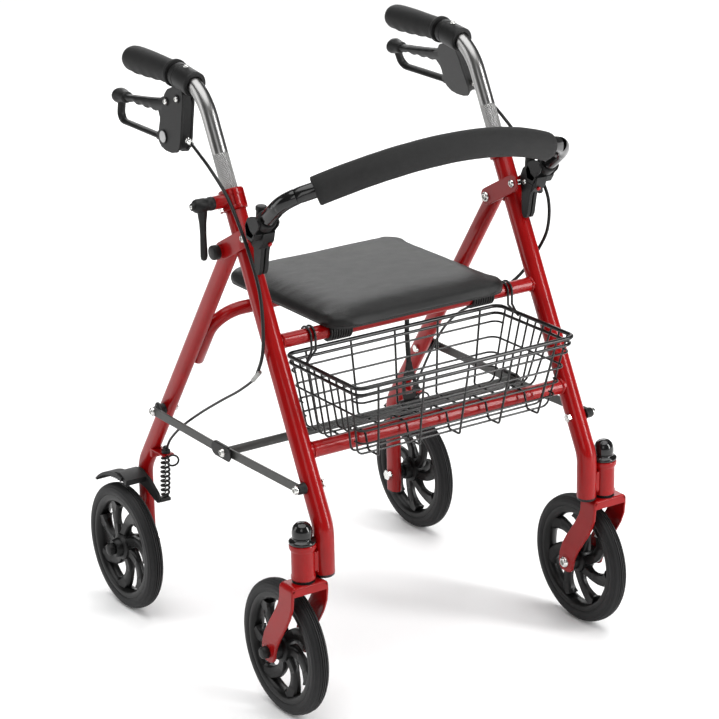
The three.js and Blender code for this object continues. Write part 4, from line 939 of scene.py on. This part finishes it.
def swell(obj, voxel, pressure, held, cap):
    """Remeshes a soft piece, blows it up as cloth and caps how far a point may move."""
    bpy.context.view_layer.objects.active = obj
    for o in bpy.context.selected_objects:
        o.select_set(False)
    obj.select_set(True)
    mod = obj.modifiers.new("remesh", "REMESH")
    mod.mode, mod.voxel_size, mod.use_smooth_shade = "VOXEL", voxel, True
    bpy.ops.object.modifier_apply(modifier=mod.name)
    rest = [v.co.copy() for v in obj.data.vertices]
    group = obj.vertex_groups.new(name="held")
    group.add([v.index for v in obj.data.vertices if held(v.co)], 1.0, "REPLACE")
    cloth = obj.modifiers.new("cloth", "CLOTH")
    c = cloth.settings
    c.use_pressure, c.uniform_pressure_force = True, pressure
    c.effector_weights.gravity = 0
    c.vertex_group_mass = "held"
    c.quality = 5
    scene = bpy.context.scene
    for f in range(1, 21):
        scene.frame_set(f)
    bpy.ops.object.modifier_apply(modifier=cloth.name)
    scene.frame_set(1)
    for v, r in zip(obj.data.vertices, rest):
        d = v.co - r
        if d.length > cap:
            v.co = r + d.normalized() * cap
    # The edges are eased a little, and the flat middle of the top much more.
    xs, ys, zs = zip(*(v.co for v in obj.data.vertices))
    middle = obj.vertex_groups.new(name="middle")
    for v in obj.data.vertices:
        edge = min(v.co.x - min(xs), max(xs) - v.co.x, v.co.y - min(ys), max(ys) - v.co.y)
        if v.co.z > (min(zs) + max(zs)) / 2:
            middle.add([v.index], max(0.0, min(1.0, (edge - 0.010) / 0.025)), "REPLACE")
    for iterations, group in ((3, ""), (30, "middle")):
        smooth = obj.modifiers.new("smooth", "CORRECTIVE_SMOOTH")
        smooth.iterations, smooth.use_only_smooth, smooth.vertex_group = iterations, True, group
        bpy.ops.object.modifier_apply(modifier=smooth.name)
    mod = obj.modifiers.new("subdivide", "SUBSURF")
    mod.levels = mod.render_levels = 1
    bpy.ops.object.modifier_apply(modifier=mod.name)
    for p in obj.data.polygons:
        p.use_smooth = True


def creases(obj, top):
    """A low crown, and shallow wrinkles that run in from the corners and along the front roll."""
    for v in obj.data.vertices:
        x, y, z = v.co.x * 1000, v.co.y * 1000 - SHIFT_Y, v.co.z * 1000
        if z < top - 9:
            continue
        u = x / SEAT_HALF
        w = (y - (SEAT_FRONT + SEAT_BACK) / 2) / ((SEAT_BACK - SEAT_FRONT) / 2)
        crown = max(0.0, 1 - u * u) * max(0.0, 1 - w * w)
        ripple = noise.noise(V(x / 30, y / 13, 3.1)) + 0.5 * noise.noise(V(x / 13, y / 8, 8.7))
        near_edge = min(1.0, max(abs(u), abs(w)) ** 3)
        v.co.z += (1.1 * crown + 0.3 * ripple * near_edge + 0.05 * ripple) * MM


# ------------------------------------------------------------------ backrest
def on_bar(x, along):
    return V(x, BAR_ROOT[0] - math.cos(BAR_RISE) * along, BAR_ROOT[1] + math.sin(BAR_RISE) * along)


def backrest():
    corners = [on_bar(-BAR_HALF, -6), on_bar(-BAR_HALF, 62)]
    corners += [on_bar(x, 130 - 61 * (x / 190) ** 2) for x in (-140, -50, 50, 140)]
    corners += [on_bar(BAR_HALF, 62), on_bar(BAR_HALF, -6)]
    bar = Solid().tube(curve(route(corners, 36, 8), 2), BAR_R, chamfer=1.5, sides=40)
    piece("back_bar", bar, GLOSS, "backrest", ["backrest_bar"])
    path = [on_bar(x, 130 - 61 * (x / 190) ** 2) for x in range(-184, 185, 8)]
    radii = [FOAM_R + 0.35 * noise.noise(V(i * 0.37, 2.2, 0)) for i in range(len(path))]
    foam = Solid().tube(path, radii, chamfer=2.4, sides=56)
    obj = piece("back_foam", foam, FOAM, "backrest", ["backrest_foam"], sharp=50)


def bracket(side, s):
    """A moulded bracket in front of the leg: a socket for the bar, a thumb stub, two fingers."""
    def px(a, b):
        return s * (LEG_X + a), s * (LEG_X + b)
    part = Solid()
    part.plate([(-71, 664), (-65, 652), (-66, 640), (-76, 632), (-90, 632), (-101, 643),
                (-105, 656), (-93, 661), (-88.5, 669), (-84, 674)], *px(-6, 12))
    part.plate([(-80, 664), (-82, 648), (-96, 646), (-103, 656), (-93, 661), (-88.5, 669),
                (-84, 672)], *px(-7.6, 25.4))
    for a, b in ((-7.6, -5), (22.8, 25.4)):
        part.plate([(-80, 666), (-83, 652), (-96, 650), (-106, 661), (-112, 666), (-114.5, 672),
                    (-111, 679), (-104, 682), (-94, 680), (-86, 676)], *px(a, b))
    stub_axis = V(0, -0.1, 0.995)
    base = V(s * LEG_X, -79.5, 667)
    part.lathe([(0, 0), (7, 0), (7, 14), (7.8, 15), (7.8, 19), (6.8, 21), (0, 21.4)], base,
               stub_axis, 32)
    for a, b in ((-6.8, -1), (1, 6.8)):
        part.plate([(-70, 646), (-69, 620), (-70, 600), (-73, 593), (-79, 593), (-83, 600),
                    (-88, 626), (-95, 645)], *px(a, b))
    part.plate([(-73, 646), (-73, 604), (-80, 602), (-88, 645)], *px(-2, 2))
    piece(f"bar_bracket_{side}", part, PLASTIC, "front_frame", [f"backrest_bracket_{side}"],
          bevel=1.3)
    screw = Solid().bolt(s * (LEG_X + 12), (-76, 645), s, 3.6, 2.2)
    screw.bolt(s * (LEG_X - 6), (-76, 645), -s, 3.6, 2.2)
    piece(f"bracket_screw_{side}", screw, ZINC, "front_frame")
    tab = Solid().lathe([(0, 0), (2.6, 0), (3, 0.8), (3, 2.2), (2.2, 3), (0, 3.2)],
                        V(s * LEG_X, -99, 640), V(0, -0.9, -0.4), 24)
    piece(f"bracket_button_{side}", tab, RED, "front_frame")
    # The collar at the bar's foot turns with the bar between the bracket's cheeks.
    collar = Solid().lathe([(BAR_R - 1, -4), (BAR_R + 1.6, -4), (BAR_R + 2.4, -3), (BAR_R + 2.4, 8),
                            (BAR_R + 1.4, 9), (BAR_R - 1, 9)], V(s * BAR_HALF, *BAR_ROOT),
                           on_bar(0, 1) - on_bar(0, 0), 40, closed=True)
    piece(f"bar_collar_{side}", collar, PLASTIC, "backrest")


# ------------------------------------------------------------------ basket
def basket():
    y0, y1 = BASKET_Y
    half, foot = BASKET_HALF, 157
    f0, f1 = -214, -66
    bottom = BASKET_BOTTOM
    wires = Solid()

    def wall(level):
        """The basket's rectangle at a height: it tapers towards the bottom."""
        t = (RIM_Z - level) / (RIM_Z - bottom)
        return half + (foot - half) * t, y0 + (f0 - y0) * t, y1 + (f1 - y1) * t

    def ring(level, r, grow=0.0, corner=13):
        hx, a, b = wall(level)
        pts = [V(px, py, level)
               for px, py in rounded_rectangle(hx + grow, a - grow, b + grow, corner)]
        count = len(pts)
        rings = []
        for i, p in enumerate(pts):
            t = (pts[(i + 1) % count] - pts[i - 1]).normalized()
            n = V(t.y, -t.x, 0)
            rings.append([p + n * (r * u) + V(0, 0, r * v) for u, v in circle(12)])
        wires.shell(rings, closed=True)
    ring(RIM_Z, 2.9)
    ring(RIM_Z - 10, 2.2, 0.4)
    for level in (446, 424, 402, 382):
        hx, a, b = wall(level)
        if level == 424:
            ring(level, 1.5)
            continue
        for y, inward in ((a, 17), (b, -17)):
            ends = [V(-hx, y + inward, level), V(-hx, y, level), V(hx, y, level),
                    V(hx, y + inward, level)]
            wires.tube(route(ends, 11, 5), 1.5, sides=12)
    # Lateral wires: down one end, across the bottom and up the other.
    count = 9
    for i in range(count):
        t = (i + 0.5) / count
        yt = y0 + 8 + (y1 - y0 - 16) * t
        yb = f0 + 4 + (f1 - f0 - 8) * t
        z = bottom + (23 if abs(yb - CROSS_TUBE[0]) < 17 else 0)
        line = route([V(-half, yt, RIM_Z), V(-foot, yb, z), V(foot, yb, z), V(half, yt, RIM_Z)], 11,
                     5)
        wires.tube(line, 1.5, sides=12)
    # Longitudinal wires: down the front, over the cross tube and up the rear.
    bar, lift, low, near = CROSS_TUBE[0], CROSS_TUBE[1] + 11 + 2.6, bottom - 2.4, 20
    path = [(y0, RIM_Z), (f0, low), (bar - near - 4, low), (bar - near + 3, lift),
            (bar + near - 3, lift), (bar + near + 4, low), (f1, low), (y1, RIM_Z)]
    for i in range(-2, 3):
        line = route([V(i * (73 if z == RIM_Z else 66), y, z) for y, z in path], 4, 4)
        wires.tube(line, 1.6, sides=12)
    # Hooks over the rail under the seat.
    ty, tz = SEAT_TUBE
    for x in (-163, 163):
        end = math.copysign(BASKET_HALF - 1, x)
        for shift in (-3.4, 3.4):
            line = [V(end, ty - 12.6 + shift * 0.2, RIM_Z - 3), V(x + shift, ty - 12.6, RIM_Z + 16)]
            for k in range(9):
                g = math.pi * (1 - k / 8)
                line.append(V(x + shift, ty + 12.4 * math.cos(g), tz + 12.4 * math.sin(g)))
            line += [V(x + shift, ty + 12.4, tz - 8), V(x + shift, ty + 14.5, tz - 14)]
            wires.tube(line, 1.7, sides=12)
    piece("wire_basket", wires, WIRE, "front_frame", ["basket"], sharp=60)


# ------------------------------------------------------------------ light and camera
def studio():
    world = bpy.data.worlds.new("studio")
    bpy.context.scene.world = world
    world.use_nodes = True
    t = world.node_tree
    back = t.nodes["Background"]
    path = node(t, "ShaderNodeLightPath")
    mix = node(t, "ShaderNodeMix", {"Factor": path.outputs["Is Camera Ray"],
                                    "A": (0.1, 0.1, 0.1, 1), "B": (1, 1, 1, 1)}, data_type="RGBA")
    plug(t, back, {"Color": mix.outputs["Result"]})
    floor_mat = material("floor", 0.93, 0.9, 0, 0.004, 1.0)
    bpy.ops.mesh.primitive_plane_add(size=30, location=(0, 0, -0.0004))
    floor = bpy.context.object
    floor.name = "floor"
    floor.data.materials.append(floor_mat)

    def lamp(name, azimuth, height, distance, size, power, high=None):
        data = bpy.data.lights.new(name, "AREA")
        data.shape, data.size, data.size_y = "RECTANGLE", size[0], size[1]
        data.energy = power
        obj = bpy.data.objects.new(name, data)
        bpy.context.collection.objects.link(obj)
        a = math.radians(azimuth)
        obj.location = (math.sin(a) * distance, -math.cos(a) * distance, height)
        aim = Vector((0, 0, 0.45 if high is None else high)) - obj.location
        obj.rotation_euler = aim.to_track_quat("-Z", "Y").to_euler()
    lamp("key_strip", 35, 1.5, 3.0, (0.6, 2.6), 85)
    lamp("left_wall", -118, 1.4, 3.2, (1.4, 2.4), 30)
    lamp("back", 150, 1.9, 3.4, (2.6, 1.4), 36)
    lamp("front_fill", -40, 2.2, 4.2, (1.6, 2.0), 22)
    sun = bpy.data.lights.new("overhead", "SUN")
    sun.energy, sun.angle = 3.15, 1.2
    bpy.context.collection.objects.link(bpy.data.objects.new("overhead", sun))


def camera():
    azimuth, elevation, roll = math.radians(-33.54), math.radians(18.62), math.radians(-1.15)
    aim = Vector((0, SHIFT_Y * MM, 0.45))
    back = Vector((math.sin(azimuth) * math.cos(elevation),
                   -math.cos(azimuth) * math.cos(elevation), math.sin(elevation)))
    data = bpy.data.cameras.new("camera")
    data.sensor_width, data.lens = 36, 132.9
    data.shift_x, data.shift_y = -0.0144, -0.0413
    cam = bpy.data.objects.new("camera", data)
    bpy.context.collection.objects.link(cam)
    cam.rotation_mode = "QUATERNION"
    cam.location = aim + back * 3.7186
    turn = (-back).to_track_quat("-Z", "Y").to_matrix() @ Matrix.Rotation(roll, 3, "Z")
    cam.rotation_quaternion = turn.to_quaternion()
    bpy.context.scene.camera = cam


camera()
studio()
bpy.context.scene.view_settings.view_transform = "Standard"
for side, s in SIDES:
    for make in (front_leg, leg_clamp, clamp_lever, fold_bracket, caster_top, handle,
                 brake_housing, brake_lever, brake_cable, fork):
        make(side, s)
    wheel("front", side, s * FRONT_WHEEL_X, FRONT_AXLE, 23.5, 0.3)
    wheel("rear", side, s * REAR_WHEEL_X, REAR_AXLE, 22, 0.7)
    for make in (rear_leg, brake_arm, struts, bracket):
        make(side, s)
rear_arch()
cross_tubes()
crossbar_and_strap()
seat()
backrest()
basket()
